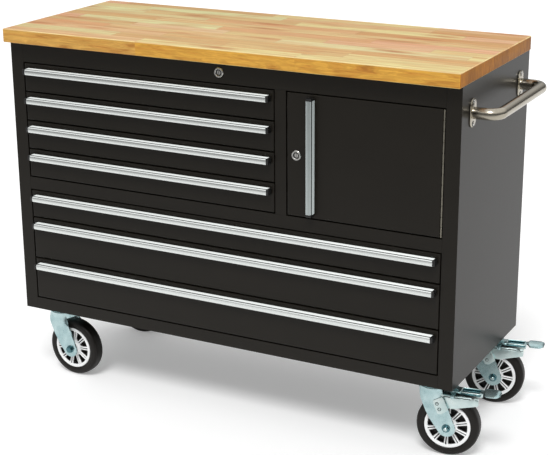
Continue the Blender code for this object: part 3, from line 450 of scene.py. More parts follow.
def headings(path, closed=False):
    # Unit direction at each point of a path, halfway between those of the steps before and after it
    steps = np.roll(path, -1, 0) - path
    steps /= np.linalg.norm(steps, axis=1, keepdims=True)
    if not closed:
        steps[-1] = steps[-2]
    before = np.roll(steps, 1, 0)
    if not closed:
        before[0] = steps[0]
    ahead = steps + before
    return ahead / np.linalg.norm(ahead, axis=1, keepdims=True)


def swept(section, path, closed=False):
    # Each section point (u, v) lies at path + u * sideways + v * upward, for every step of the path;
    # sideways is level with the axis that the path leans on least
    section, path = np.array(section, float), np.array(path, float)
    ahead = headings(path, closed)
    guide = np.eye(3)[2 - np.argmin(np.abs(ahead).max(0)[::-1])]
    sideways = np.cross(ahead, guide)
    sideways /= np.linalg.norm(sideways, axis=1, keepdims=True)
    upward = np.cross(sideways, ahead)
    u, v = section[None, :, :1], section[None, :, 1:]
    points = path[:, None] + u * sideways[:, None] + v * upward[:, None]
    return surface(points, loopRows=closed, loopColumns=True, caps=not closed)


def circle(radius, sides):
    # radius times the cosine and sine of evenly spaced angles
    angle = np.linspace(0, 2 * math.pi, sides, endpoint=False)
    return radius * np.column_stack([np.cos(angle), np.sin(angle)])


def tube(path, radius, sides, closed=False):
    # A circle carried along a path
    return swept(circle(radius, sides), path, closed)


def walled(points, thickness):
    # A sheet with a wall: a second grid lies behind the first along its normals, and their borders are joined
    normal = np.cross(np.gradient(points, axis=0), np.gradient(points, axis=1))
    normal /= np.maximum(np.linalg.norm(normal, axis=2, keepdims=True), 1e-9)
    behind = points - thickness * normal
    rows, columns = points.shape[:2]
    loopPoints, faces = surface(np.concatenate([points, behind[:, ::-1]], axis=1), loopColumns=True)
    near = np.arange(columns - 1)
    far = 2 * columns - 1 - near
    for start in (0, (rows - 1) * 2 * columns):
        faces += (start + np.stack([near, near + 1, far - 1, far], 1)).tolist()
    return loopPoints, faces


def moved(shape, place=(0, 0, 0), turn=0.0, axis="Z", then=None):
    # A shape turned about an axis through the origin, then moved; then is a last matrix over both
    matrix = Matrix.Translation(place) @ Matrix.Rotation(math.radians(turn), 4, axis)
    matrix = np.array(then @ matrix if then else matrix)
    return shape[0] @ matrix[:3, :3].T + matrix[:3, 3], shape[1]


def boxOf(node):
    # Lowest and highest corner of a CAD node in cabinet millimetres
    return [(np.array(corner) - origin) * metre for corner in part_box(node)]


weldDistance = 0.000002  # metres between points that are one


def addPiece(name, shapes, body, replaced=(), sharp=32, choose=None, place=None):
    # Joins (shape, finish) pairs into one mesh, closes its seams and points its faces outwards. place is a
    # last matrix over all its shapes. choose holds further finishes, and a rule that numbers the finish of
    # each face from its normal.
    points, faces, numbers, used, start = [], [], [], [], 0
    for shape, key in shapes:
        shapePoints, shapeFaces = moved(shape, then=place) if place else shape
        if key not in used:
            used.append(key)
        points.append(shapePoints)
        faces += [[corner + start for corner in face] for face in shapeFaces]
        numbers += [used.index(key)] * len(shapeFaces)
        start += len(shapePoints)
    mesh = bpy.data.meshes.new(name)
    mesh.from_pydata(np.concatenate(points) / metre + origin, [], faces)
    for key in used + list(choose[0] if choose else ()):
        mesh.materials.append(finish[key])
    mesh.polygons.foreach_set("material_index", numbers)
    sheet = bmesh.new()
    sheet.from_mesh(mesh)
    bmesh.ops.remove_doubles(sheet, verts=sheet.verts, dist=weldDistance)
    bmesh.ops.recalc_face_normals(sheet, faces=sheet.faces)
    sheet.to_mesh(mesh)
    sheet.free()
    mesh.shade_smooth()
    mesh.set_sharp_from_angle(angle=math.radians(sharp))
    if choose:
        normals = np.zeros(len(mesh.polygons) * 3)
        mesh.polygons.foreach_get("normal", normals)
        mesh.polygons.foreach_set("material_index", choose[1](normals.reshape(-1, 3)))
    piece = bpy.data.objects.new(name, mesh)
    bpy.context.scene.collection.objects.link(piece)
    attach(piece, body)
    if replaced:
        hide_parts(*replaced)


print("shapes ready")


# Worktop
worktopValues = {
    "corner": 3.0,
    "edge": 2.0,
    "cornerSteps": 6,
    "sideways": 0.72,       # a face that looks sideways by more than this is edge or end grain
    "arris": (0.15, 0.97),  # a face that looks up by a share between these is the arris, drawn paler as a painted highlight
}


def addWorktop(values):
    # One slab, its faces told apart by the way they look
    low, high = boxOf("worktop")
    slab = block(low, high, values["corner"], values["edge"], values["cornerSteps"])

    def chooseGrain(normals):
        # 0 face, 1 edge, 2 end grain, 3 arris with its painted highlight
        isEnd, isEdge = (np.abs(normals[:, axis]) > values["sideways"] for axis in (0, 1))
        isArris = (normals[:, 2] > values["arris"][0]) & (normals[:, 2] < values["arris"][1])
        return np.select([isArris, isEnd, isEdge], [3, 2, 1], 0).astype(np.int32)

    addPiece("worktop_slab", [(slab, "woodTop")], "cabinet", ["worktop"],
             choose=(("woodEdge", "woodEnd", "woodArrisHighlight"), chooseGrain))


addWorktop(worktopValues)
print("worktop done")


# Pull handles: an extruded channel, open below, with a slot behind its lip and a moulded cap at each end
pullValues = {
    "wall": 2.0,
    "lip": (2.4, 2.0, 2.2, 0.8),   # thickness, its front edge's chamfer back and down, how low its top is
    "slot": (2.65, 3.2, 1.2),      # width, depth, and how far it widens under the web
    "web": 0.8,                    # wall between the slot and the open channel, and beside the slot's mouth
    "ribs": 9,
    "ribShare": 0.74,              # length of a grip rib's slope along the web, as a share of the ribs' pitch
    "ribSlope": 1.28,
    "bulge": 1.05,
    "bulgeSteps": 9,
    "flange": 13.0,
    "cap": 6.5,
    "overlap": 0.5,                # how far the bar runs into each cap
    "cut": 0.05,                   # bevel of the sawn ends
    "capCorners": (0.8, 1.6, 2.6, 0.8),
    "capEdge": 0.8,
}


def pullSection(out, face, values):
    # u is out of the front and v is up from the lip. Grip ribs make a saw line along the web: each slope
    # drops towards the front by ribSlope times its length. The face bulges as a parabola of the share down.
    wall, bulge, flange = values["wall"], values["bulge"], values["flange"]
    lip, back, down, low = values["lip"]
    width, depth, under = values["slot"]
    reach = out - lip - width
    pitch = reach / values["ribs"]
    crest, level = np.arange(values["ribs"]) * pitch, np.zeros(values["ribs"])
    slope = values["ribShare"] * pitch
    ribs = np.stack([crest, level, crest + slope, level - values["ribSlope"] * slope], 1).reshape(-1, 2)
    start = (low + down) / face
    share = np.concatenate([[start], np.linspace(start + 0.03, 0.93, values["bulgeSteps"])])
    front = np.column_stack([out - bulge * (2 * share - 1) ** 2, -face * share])
    brow = np.linspace((out - back, -low), front[0], 6)[[0, 1, 4]]
    slot = [(reach, 0), (reach, -values["web"] / 2), (reach - under, -values["web"]), (reach - under, -depth),
            (out - lip, -depth), (out - lip, -low)]
    inside = -depth - values["web"]
    corners = np.concatenate([
        ribs, slot, brow, front,
        [(out - bulge - 0.4, -face), (out - wall, -face), (out - wall, inside), (wall, inside),
         (wall, -flange), (0, -flange)]])
    radii = np.zeros(len(corners))
    radii[len(ribs) + np.array([0, 5])] = 0.15
    radii[-5:] = (0.6, 0.8, 0.8, 0.5, 0.5)
    return rounded(corners, radii, 3)


def addPull(node, name, body, upright, values):
    # (u, v, w) of the section and its run become (-y, z, x) on a drawer and (-y, x, z) on the door
    low, high = boxOf(node)
    if upright:
        axis, face, metal = 2, high[0] - low[0], "aluminiumZ"
        place = Matrix(((0, 1, 0, high[0]), (-1, 0, 0, high[1]), (0, 0, 1, 0), (0, 0, 0, 1)))
    else:
        axis, face, metal = 0, high[2] - low[2], "aluminiumX"
        place = Matrix(((0, 0, 1, 0), (-1, 0, 0, high[1]), (0, 1, 0, high[2]), (0, 0, 0, 1)))
    out, start, stop = high[1] - low[1], low[axis], high[axis]
    cap, cut, overlap = values["cap"], values["cut"], values["overlap"]
    bar = plate(pullSection(out, face, values), start + cap - overlap, stop - cap + overlap, cut, 1)
    width, depth, under = values["slot"]
    mouth = out - values["lip"][0] + 0.1
    reach = out - values["lip"][0] - width
    # A dark strip in the slot is painted shadow: the slot's inside drawn dark
    slotShadow = [(reach - under - 0.1, -depth - 0.1), (reach - under - 0.1, -0.6), (reach + 0.1, -0.2),
             (reach + 0.1, -depth + 0.2), (mouth, -depth + 0.2), (mouth, -depth - 0.1)]
    slotShadow = plate(slotShadow, start + cap, stop - cap, cut, 1)
    addPiece(name, [(bar, metal), (slotShadow, "slotPaintedShadow")], body, [node], place=place)
    outline = rounded([(0, -0.1), (out, -0.1), (out, -face), (0, -face)], values["capCorners"])
    caps = [(plate(outline, end, end + cap, values["capEdge"]), "capPlastic") for end in (start, stop - cap)]
    addPiece(name + "_caps", caps, body, place=place)


for number in range(1, 8):
    addPull(f"drawer_{number}_handle", f"drawer_{number}_pull", f"drawer_{number}", False, pullValues)
addPull("door_handle", "door_pull", "door", True, pullValues)
print("pull handles done")


# Piano hinge: knuckles in a row with a leaf on the stile
hingeValues = {"knuckle": 24.0, "gap": 1.6, "edge": 0.4, "leaf": 0.8, "radius": 2.2, "pinRadius": 1.3}


def addHinge(values):
    # Each knuckle is a bevelled cylinder round the pin
    low, high = boxOf("door_hinge")
    radius, pinRadius, edge = values["radius"], values["pinRadius"], values["edge"]
    centre = (low[0] + radius, low[1] + radius)
    count = round((high[2] - low[2]) / values["knuckle"])
    pitch = (high[2] - low[2]) / count
    shapes = []
    for k in range(count):
        bottom, top = low[2] + k * pitch, low[2] + (k + 1) * pitch - values["gap"]
        profile = [(0, bottom), (radius - edge, bottom), (radius, bottom + edge), (radius, top - edge),
                   (radius - edge, top), (0, top)]
        shapes.append(moved(turned(profile, 20, False), (*centre, 0)))
    pin = turned([(0, low[2]), (pinRadius, low[2]), (pinRadius, high[2]), (0, high[2])], 12, False)
    leaf = block((high[0] - values["leaf"], centre[1], low[2]), high, 0.2, 0.2, 1)
    shapes += [moved(pin, (*centre, 0)), leaf]
    addPiece("door_piano_hinge", [(shape, "hingeSteel") for shape in shapes], "cabinet",
             ["door_hinge"])


addHinge(hingeValues)


# Cam lock housings, turned about the y axis; a profile is radii and heights out of the sheet it sits in
lockValues = {
    "proud": 3.0,
    "sides": 48,
    "profile": ((7.0, 1.4), (8.3, 3.0), (10.6, 3.0), (12.0, 1.4), (12.0, 0.3), (9.5, 0.3), (9.5, -1.3),
                (13.0, -1.3), (13.0, -5.0), (9.5, -5.0), (9.5, -18.0), (7.0, -18.0)),
    "profileRadii": (0.3, 0.5, 0.8, 0.6, 0.3, 0, 0, 0.4, 0.4, 0, 0.3, 0.3),
    "gapShade": ((4.9, 1.5), (4.9, 2.1), (7.6, 2.1), (7.6, 1.5)),  # painted shade: a black ring in the gap round the plug
    "gapShadeRadius": 0.2,
}


def addLockHousing(node, name, body, values):
    # Two profiles turned about the plug's axis
    low, high = boxOf(node)
    place = ((low[0] + high[0]) / 2, low[1] + values["proud"], (low[2] + high[2]) / 2)
    profiles = ((rounded(values["profile"], values["profileRadii"], 3), "nickel"),
                (rounded(values["gapShade"], values["gapShadeRadius"], 2), "capPlastic"))
    shapes = [(moved(turned(profile, values["sides"]), place, 90, "X"), key) for profile, key in profiles]
    addPiece(name, shapes, body, [node])


addLockHousing("main_lock_barrel", "main_lock_housing", "cabinet", lockValues)
addLockHousing("door_lock_barrel", "door_lock_housing", "door", lockValues)
print("hinge and locks done")


# Side handle: a bent tube with a weld collar on each oblong foot, and two screws in each foot
sideHandleValues = {
    "tubeRadius": 13.0,
    "bend": 52.0,
    "bendSteps": 18,
    "sides": 48,
    "collar": 1.0,
    "footCorner": 16.0,
    "footEdge": 1.6,
    "screwSpacing": 48.0,
    "screw": ((0, 1.3), (1.5, 1.3), (1.9, 2.7), (3.2, 2.4), (4.6, 1.0), (4.6, -0.5), (0, -0.5)),
    "screwRadii": (0, 0.2, 0.4, 0.8, 0.4, 0, 0),
    "screwShade": 6.4,             # radius of the painted shadow round a screw's head
}


def shadowRing(radius):
    # A thin disc of painted shadow whose rim shows round the head of a fastener
    return plate(circle(radius, 32 if radius > 5 else 24), -0.5, 0.25, 0.1, 1)


def addSideHandle(values):
    # The tube is a circle carried along a path with two round bends
    low, high = boxOf("side_handle_tube")
    radius, collar = values["tubeRadius"], values["collar"]
    z, run = (low[2] + high[2]) / 2, high[0] - radius
    front, rear = low[1] + radius, high[1] - radius
    corners = [(low[0], front), (run, front), (run, rear), (low[0], rear)]
    bends = rounded(corners, (0, values["bend"], values["bend"], 0), values["bendSteps"], closed=False)
    path = np.column_stack([bends, np.full(len(bends), z)])
    weld = rounded([(radius - 1, 0), (radius + collar, 0), (radius - 0.1, collar), (radius - 1, collar)],
                   0.4, 3)
    shapes = [tube(path, radius, values["sides"])]
    shapes += [moved(turned(weld), (low[0] - 0.3, y, z), 90, "Y") for y in (front, rear)]
    addPiece("side_handle_bar", [(shape, "stainless") for shape in shapes], "cabinet",
             ["side_handle_tube"], sharp=40)
    screw = rounded(values["screw"], values["screwRadii"], 3, closed=False)
    yzx = Matrix(((0, 0, 1, 0), (1, 0, 0, 0), (0, 1, 0, 0), (0, 0, 0, 1)))
    for label in ("front", "rear"):
        low, high = boxOf("side_handle_flange_" + label)
        outline = rounded(rectangle(low[1:], high[1:]), values["footCorner"], 8)
        shapes = [(moved(plate(outline, low[0], high[0], values["footEdge"]), then=yzx), "stainless")]
        for side in (-1, 1):
            place = (high[0], (low[1] + high[1]) / 2, z + side * values["screwSpacing"] / 2)
            shapes += [(moved(shape, place, 90, "Y"), key) for shape, key in (
                (turned(screw, 24, False), "nickel"), (shadowRing(values["screwShade"]), "zincDark"))]
        addPiece("side_handle_foot_" + label, shapes, "cabinet", ["side_handle_flange_" + label])


addSideHandle(sideHandleValues)
print("side handle done")


# Casters, in their own axes: x to the rear of the fork, y across it, z up from the cabinet's underside
casterAngles = {  # swivel and wheel angles at rest, as in the CAD, and whether the caster has a foot brake
    "front_left": (-3, 24, False),
    "front_right": (8, 33, True),
    "rear_left": (4, 10, False),
    "rear_right": (10, 12, True),
}
casterValues = {
    "trail": 38.4,
    "axleDrop": 113.0,
    "plate": (52.0, 43.0, 4.0),
    "plateTop": -0.3,
    "plateCorner": 7.0,
    "boltPlaces": (41.0, 31.0),
    "cup": ((0, -3.8), (38, -3.8), (33, -6.2), (31, -9), (30.6, -13), (29, -14), (0, -14)),
    "cupRadii": (0, 0, 2, 2, 1.5, 1, 0),
    "crownRadius": 33.9,
    "crownTop": -14.3,
    "crownBottom": -23.3,
    "legTop": -20.0,
    "legHalf": 29.0,
    "legWall": 3.5,
    "legFlatBelow": -52.0,
    "legFront": ((-28.5, -20.0), (-26.5, -34.0), (-24.0, -42.0), (-10.4, -75.8), (2.9, -99.1)),
    "legRear": ((24.0, -20.0), (28.0, -34.0), (36.1, -50.0), (47.9, -81.4)),
    "endRadius": 21.0,
    "washer": (10.0, 1.3),     # radius and thickness
    "boltHead": (8.6, 6.2),    # radius over its corners, and height
    "nut": (8.0, 5.2),
    "boltEnd": ((0, 8.6), (3.4, 8.6), (4.4, 7.7), (4.4, 5.0), (0, 5.0)),
}
acrossY = Matrix(((1, 0, 0, 0), (0, 0, 1, 0), (0, 1, 0, 0), (0, 0, 0, 1)))  # (u, v, w) becomes (x, z, y)


def plateMatrix(corner):
    # From a caster's own axes before it swivels
    low, high = boxOf(f"caster_{corner}_plate")
    middle = (low + high) / 2
    return Matrix.Translation((middle[0], middle[1], 0))


def swivelMatrix(corner):
    # The same, swivelled to its angle at rest
    return plateMatrix(corner) @ Matrix.Rotation(math.radians(casterAngles[corner][0]), 4, "Z")


def hexagon(radius):
    # Six corners on a circle, slightly rounded
    return rounded(circle(radius, 6), 0.6, 2)


def addTopPlate(corner, values):
    # The plate doesn't swivel: bolt heads below its corners and the dished race cup under its middle
    halfX, halfY, thick = values["plate"]
    top, bottom = values["plateTop"], values["plateTop"] - thick
    shapes = [block((-halfX, -halfY, bottom), (halfX, halfY, top), values["plateCorner"], 0.8),
              turned(rounded(values["cup"], values["cupRadii"], 4, closed=False), 64, False)]
    for x in (-values["boltPlaces"][0], values["boltPlaces"][0]):
        for y in (-values["boltPlaces"][1], values["boltPlaces"][1]):
            shapes += [moved(plate(circle(8.6, 24), bottom - 1.4, bottom, 0.3, 2), (x, y, 0)),
                       moved(plate(hexagon(7.2), bottom - 6.2, bottom - 1.4, 0.7), (x, y, 0))]
    addPiece(f"caster_{corner}_top_plate", [(shape, "zinc") for shape in shapes], "cabinet",
             [f"caster_{corner}_plate"], place=plateMatrix(corner))


def legShape(side, values):
    # Pressed leg: x runs from the front to the rear edge of each level, and y from the crown's round wall
    # to the flat leg as z falls; levels crowd towards the rounded end so that it closes smoothly
    trail, drop, radius, top = (values[k] for k in ("trail", "axleDrop", "endRadius", "legTop"))
    span = drop + radius + top
    z = top - span * np.sin(np.linspace(0, math.pi / 2, 36))[:, None]
    edges = []
    for line, first, steps in ((values["legFront"], 208, 14), (values["legRear"], 370, 22)):
        angles = np.radians(np.linspace(first, 270, steps))
        edgeX = np.concatenate([[p[0] for p in line], trail + radius * np.cos(angles)])
        edgeZ = np.concatenate([[p[1] for p in line], -drop + radius * np.sin(angles)])
        edges.append(np.interp(-z, -edgeZ, edgeX))
    front, rear = edges
    x = front + (rear - front) * np.linspace(0, 1, 17)[None, :]
    flat = np.clip((top - z) / (top - values["legFlatBelow"]), 0, 1)
    flat = flat * flat * (3 - 2 * flat)
    roundY = np.sqrt(np.maximum(values["crownRadius"] ** 2 - x ** 2, 0))
    y = side * (roundY + (values["legHalf"] - roundY) * flat)
    return walled(np.stack([x, y, z + 0 * x], -1), -side * values["legWall"])


brakeValues = {
    "armInner": 23.0,
    "armOuter": 26.0,
    "armEdge": 0.6,
    "beads": (                    # radius, how low it runs and finish
        (1.5, 32.6, "zincCheekAndHighlight"), (0.8, 37.0, "zincCheekAndHighlight"), (0.8, 35.0, "zincDark")),
    "beadRuns": ((30, 92), (102, 109)),
    "notch": (97.0, 3.0),
    "cheek": (28.0, 31.0),        # inner and outer face
    "cheekOutline": ((5.5, -47.0), (28.4, -34.8), (43.0, -67.0), (27.5, -79.0), (18.0, -79.0), (10.7, -65.0)),
    "rivets": ((16.0, -54.0), (22.0, -67.0)),
    "rivet": (2.9, 1.8),          # radius and height of its dome
    "rivetShade": 4.3,
    "pivot": (50.0, -33.5),
}


def brakeArm(side, values):
    # Flat arm outline in (x, z) with a round notch in its top edge; two pressed beads in brighter zinc as
    # painted highlight run along that edge, with a thin dark tube between them as the groove's painted shadow
    notchX, notchRadius = values["notch"]
    turn = np.radians(np.linspace(180, 360, 9))
    notch = np.column_stack([notchX + notchRadius * np.cos(turn), -31.2 + notchRadius * np.sin(turn)])
    outline = np.concatenate([
        [(20, -31), (notchX - notchRadius - 0.5, -31)], notch,
        [(notchX + notchRadius + 0.5, -31), (110, -31)],
        rounded([(110, -31), (110, -49.5), (53, -64), (20, -64)], (0, 3, 12, 0), 5, closed=False)[1:]])
    low, high = sorted((side * values["armInner"], side * values["armOuter"]))
    shapes = [(moved(plate(outline, low, high, values["armEdge"], 2), then=acrossY), "zincCheekAndHighlight")]
    face = side * (values["armOuter"] + 0.3)
    for radius, drop, key in values["beads"]:
        for start, stop in values["beadRuns"]:
            path = [(x, face, -drop) for x in (start, start + 2, stop - 2, stop)]
            shapes.append((tube(path, radius, 10), key))
    return shapes


def dome(radius, height):
    # Rivet head: a quarter ellipse turned about z, standing on a short skirt below z = 0
    turn = np.linspace(0, math.pi / 2, 7)
    profile = np.column_stack([radius * np.sin(turn), height * np.cos(turn)])
    return turned(np.concatenate([profile, [(radius, -1.0), (0, -1.0)]]), 24, False)


def outwards(shape, x, z, y, side):
    # A shape on the xy plane is stood on a leg's outer face, its z axis pointing away from the fork
    return moved(shape, (x, side * y, z), -90 * side, "X")


def addFork(corner, values, brake):
    # Two pressed legs hang from a turned crown; a braked fork has a riveted cheek and an arm on each side
    name = f"caster_{corner}"
    radius, top, bottom, wall = (values[k] for k in ("crownRadius", "crownTop", "crownBottom", "legWall"))
    crown = rounded([(0, top), (radius, top), (radius, bottom), (radius - wall, bottom),
                     (radius - wall, top - wall), (0, top - wall)], (0, 4.5, 0.4, 0.4, 2, 0), 6, closed=False)
    kingNut = moved(plate(hexagon(9), 0, 6, 0.8), (0, 0, top - wall - 6))
    shapes = [(shape, "zinc") for shape in (
        legShape(-1, values), legShape(1, values), turned(crown, 96, False), kingNut)]
    for side in (-1, 1) if casterAngles[corner][2] else ():
        low, high = sorted((side * brake["cheek"][0], side * brake["cheek"][1]))
        shapes += brakeArm(side, brake)
        cheek = plate(rounded(brake["cheekOutline"], 4, 4), low, high, 0.7)
        shapes.append((moved(cheek, then=acrossY), "zincCheekAndHighlight"))
        for x, z in brake["rivets"]:
            parts = ((dome(*brake["rivet"]), "zincCheekAndHighlight"), (shadowRing(brake["rivetShade"]), "zincDark"))
            shapes += [(outwards(shape, x, z, brake["cheek"][1], side), key) for shape, key in parts]
    addPiece(f"{name}_pressed_fork", shapes, f"{name}_swivel", [f"{name}_fork"], sharp=40,
             place=swivelMatrix(corner))


def addAxleBolt(corner, values):
    # Hexagon head on one leg, nut and bolt end on the other, each on a washer
    name, trail, drop = f"caster_{corner}", values["trail"], values["axleDrop"]
    washerRadius, washerHeight = values["washer"]
    headSide = 1 if casterAngles[corner][2] else -1
    shapes = []
    for side in (-1, 1):
        size, height = values["boltHead" if side == headSide else "nut"]
        # Washer, head, nut and shank are zinc drawn darker as painted shade; the bolt end stays bright
        parts = [(plate(circle(washerRadius, 36), 0, washerHeight, 0.3, 2), "zincShaded"),
                 (moved(plate(hexagon(size), 0, height, 0.9), (0, 0, washerHeight)), "zincShaded")]
        if side != headSide:
            parts.append((turned(values["boltEnd"], 24, False), "zincBolt"))
        shapes += [(outwards(part, trail, -drop, values["legHalf"] + 0.1, side), key) for part, key in parts]
    shank = turned([(0, -29), (5, -29), (5, 29), (0, 29)], 24, False)
    shapes.append((moved(shank, (trail, 0, -drop), 90, "X"), "zincShaded"))
    addPiece(f"{name}_axle_bolt", shapes, f"{name}_swivel", [f"{name}_axle"],
             place=swivelMatrix(corner))


wheelValues = {
    "windows": 10,
    "innerRadius": 23.0,
    "outerRadius": 46.6,
    "innerWidth": 7.0,
    "outerWidth": 20.0,
    "wallDepth": 2.6,    # silver part of a window's wall; the rest is painted shade
    "coreHeight": 3.0,   # half the thickness of the core between the two faces, dark as painted shade in the windows
    "darkGroove": -2.2,  # a spoke's groove is painted shade below this
    "tyre": ((54.3, 15.0), (56.5, 16.8), (62.0, 18.0), (69.5, 17.0), (73.0, 13.0), (74.0, 8.0)),
    "tyreRadii": (1, 2, 6, 4, 4, 6),
    "tyreSides": 112,
}


def rimShape(values):
    # One face of the rim is a polar grid: rows are radii, columns are angles that follow the windows' edges.
    # A point's height is the solid face, the lower edge of a window's silver wall or the core. Faces deep
    # in a window or in a spoke's groove are drawn dark as painted shade.
    inner, outer = values["innerRadius"], values["outerRadius"]
    rows = np.array([  # radius, height of the solid face, depth step (0 solid, 1 wall, 2 core)
        (5.3, 24.6, 0), (14.6, 24.6, 0), (15.6, 24.2, 0), (16.0, 23.4, 0), (16.8, 15.8, 0), (18.2, 14.8, 0),
        (inner - 2, 14.6, 0), (inner, 14.5, 0), (inner + 0.2, 14.5, 1), (inner + 0.7, 14.5, 2),
        (28.0, 14.6, 2), (34.0, 14.8, 2), (40.0, 15.0, 2),
        (outer - 0.7, 15.2, 2), (outer - 0.2, 15.4, 1), (outer, 15.6, 0), (outer + 0.5, 16.6, 0),
        (outer + 1.2, 17.1, 0), (50.5, 17.2, 0), (52.8, 17.1, 0), (53.7, 16.6, 0), (54.0, 15.6, 0)])
    radius, solid, rowStep = rows.T
    share = np.clip((radius - inner) / (outer - inner), 0, 1)
    width = values["innerWidth"] + (values["outerWidth"] - values["innerWidth"]) * share
    edgeAngle = width / 2 / np.maximum(radius, inner)
    sector = 2 * math.pi / values["windows"]
    # columns from a window's middle to the middle of a spoke: step, share of the angle, millimetres off the
    # edge, and the spoke's ribs and groove
    window = [(2, 0.0, 0, 0), (2, 0.5, 0, 0), (2, 1.0, -0.7, 0), (1, 1.0, -0.2, 0), (0, 1.0, 0, 0)]
    spoke = [(0.08, 0.5), (0.25, 0.9), (0.50, 0.9), (0.60, 0.4), (0.66, -2.6), (1.0, -3.0)]
    angles = [np.clip(edgeAngle * part + off / radius, 0, None) for _, part, off, _ in window]
    angles += [edgeAngle + part * (sector / 2 - edgeAngle) for part, _ in spoke]
    columnStep = np.array([column[0] for column in window] + [0] * len(spoke), float)
    ridge = np.array([0.0] * len(window) + [rib for _, rib in spoke])
    half = np.stack(angles, 1)
    angle = np.concatenate([-half[:, 1:-1][:, ::-1], half], 1)
    columnStep = np.concatenate([columnStep[1:-1][::-1], columnStep])
    ridge = np.concatenate([ridge[1:-1][::-1], ridge])
    fade = np.clip((radius - 18.5) / 3.0, 0, 1) * np.clip((outer + 1.2 - radius) / 1.2, 0, 1)
    step = np.minimum(rowStep[:, None], columnStep[None, :])
    dip = ridge[None, :] * fade[:, None]
    height = np.select([step == 1, step == 2],
                       [solid[:, None] - values["wallDepth"], values["coreHeight"]], solid[:, None] + dip)
    count = values["windows"]
    angle = np.concatenate([angle + k * sector for k in range(count)], 1)
    height, step, dip = (np.tile(grid, (1, count)) for grid in (height, step, dip))
    face = np.stack([radius[:, None] * np.cos(angle), radius[:, None] * np.sin(angle), height], -1)
    both = np.concatenate([face, (face * (1, 1, -1))[::-1]])
    points, faces = surface(both, loopRows=True, loopColumns=True)
    steps, dips = (np.concatenate([grid, grid[::-1]]).ravel() for grid in (step, dip))
    faces = np.array(faces)
    isDark = (steps[faces].mean(1) >= 1.5) | (dips[faces].mean(1) < values["darkGroove"])
    return (points, faces[~isDark].tolist()), (points, faces[isDark].tolist())


def addWheel(corner, values):
    # Rim and tyre are made lying flat, then stood on the axle
    name, spin = f"caster_{corner}", casterAngles[corner][1]
    axle = Matrix.Translation((casterValues["trail"], 0, -casterValues["axleDrop"]))
    upright = Matrix.Rotation(math.radians(-spin), 4, "Y") @ Matrix.Rotation(math.radians(90), 4, "X")
    place = swivelMatrix(corner) @ axle @ upright
    bright, dark = rimShape(values)
    addPiece(f"{name}_spoked_rim", [(bright, "rimPlastic"), (dark, "rimPaintedShade")], f"{name}_wheel",
             [f"{name}_rim"], sharp=30, place=place)
    half, radii = values["tyre"], values["tyreRadii"]
    profile = rounded(half + tuple((r, -h) for r, h in half[::-1]), radii + radii[::-1], 5)
    addPiece(f"{name}_solid_tyre", [(turned(profile, values["tyreSides"]), "tyreRubber")], f"{name}_wheel",
             [f"{name}_tyre"], place=place)


pedalValues = {
    "half": 14.6,
    "start": 42.0,
    "pocket": (66.0, 111.0),
    "pocketCorner": 5.0,
    "top": -23.8,
    "floor": -30.4,
    "sheet": 2.0,
    "bead": 1.4,
    "neckHalf": 10.0,
    "spoon": (116.0, 156.5),
    "spoonHalf": 22.5,
    "spoonCorner": 14.0,
    "spoonTop": -20.2,
    "rimDrop": 4.5,
    "neckDrop": 3.2,
    "crown": 0.8,
    "pinHead": (4.6, 2.0),   # radius and height of the domes on the cross pin
    "pinRadius": 3.0,
    "pinHalf": 29.0,
}


def spoonShape(values):
    # Pressed tread: half its width grows from the neck and closes in a rounded corner at the tip, and its
    # height falls off towards its edges as the fourth power of the share across
    start, tip = values["spoon"]
    corner, half, neck = values["spoonCorner"], values["spoonHalf"], values["neckHalf"]
    x = np.concatenate([np.linspace(values["pocket"][1] - 2, start + 14, 18),
                        tip - corner + corner * np.sin(np.linspace(0, math.pi / 2, 12))])[:, None]
    widen = np.clip((x - start) / 9.0, 0, 1)
    width = neck + (half - neck) * np.sin(widen * math.pi / 2)
    ending = np.clip(x - (tip - corner), 0, corner)
    width = width - corner + np.sqrt(np.maximum(corner ** 2 - ending ** 2, 0))
    across = np.linspace(-1, 1, 21)[None, :]
    ends = np.clip((x - tip + corner) / corner, 0, 1) ** 4
    drop = values["rimDrop"] * np.maximum(across ** 4, ends) * np.clip((x - start + 4) / 12, 0, 1)
    z = values["spoonTop"] - drop - values["crown"] * across ** 2 * (drop == 0)
    lower = np.clip((start + 4 - x) / 8, 0, 1) * values["neckDrop"]
    return walled(np.stack([x + 0 * across, width * across, z - lower], -1), values["sheet"])


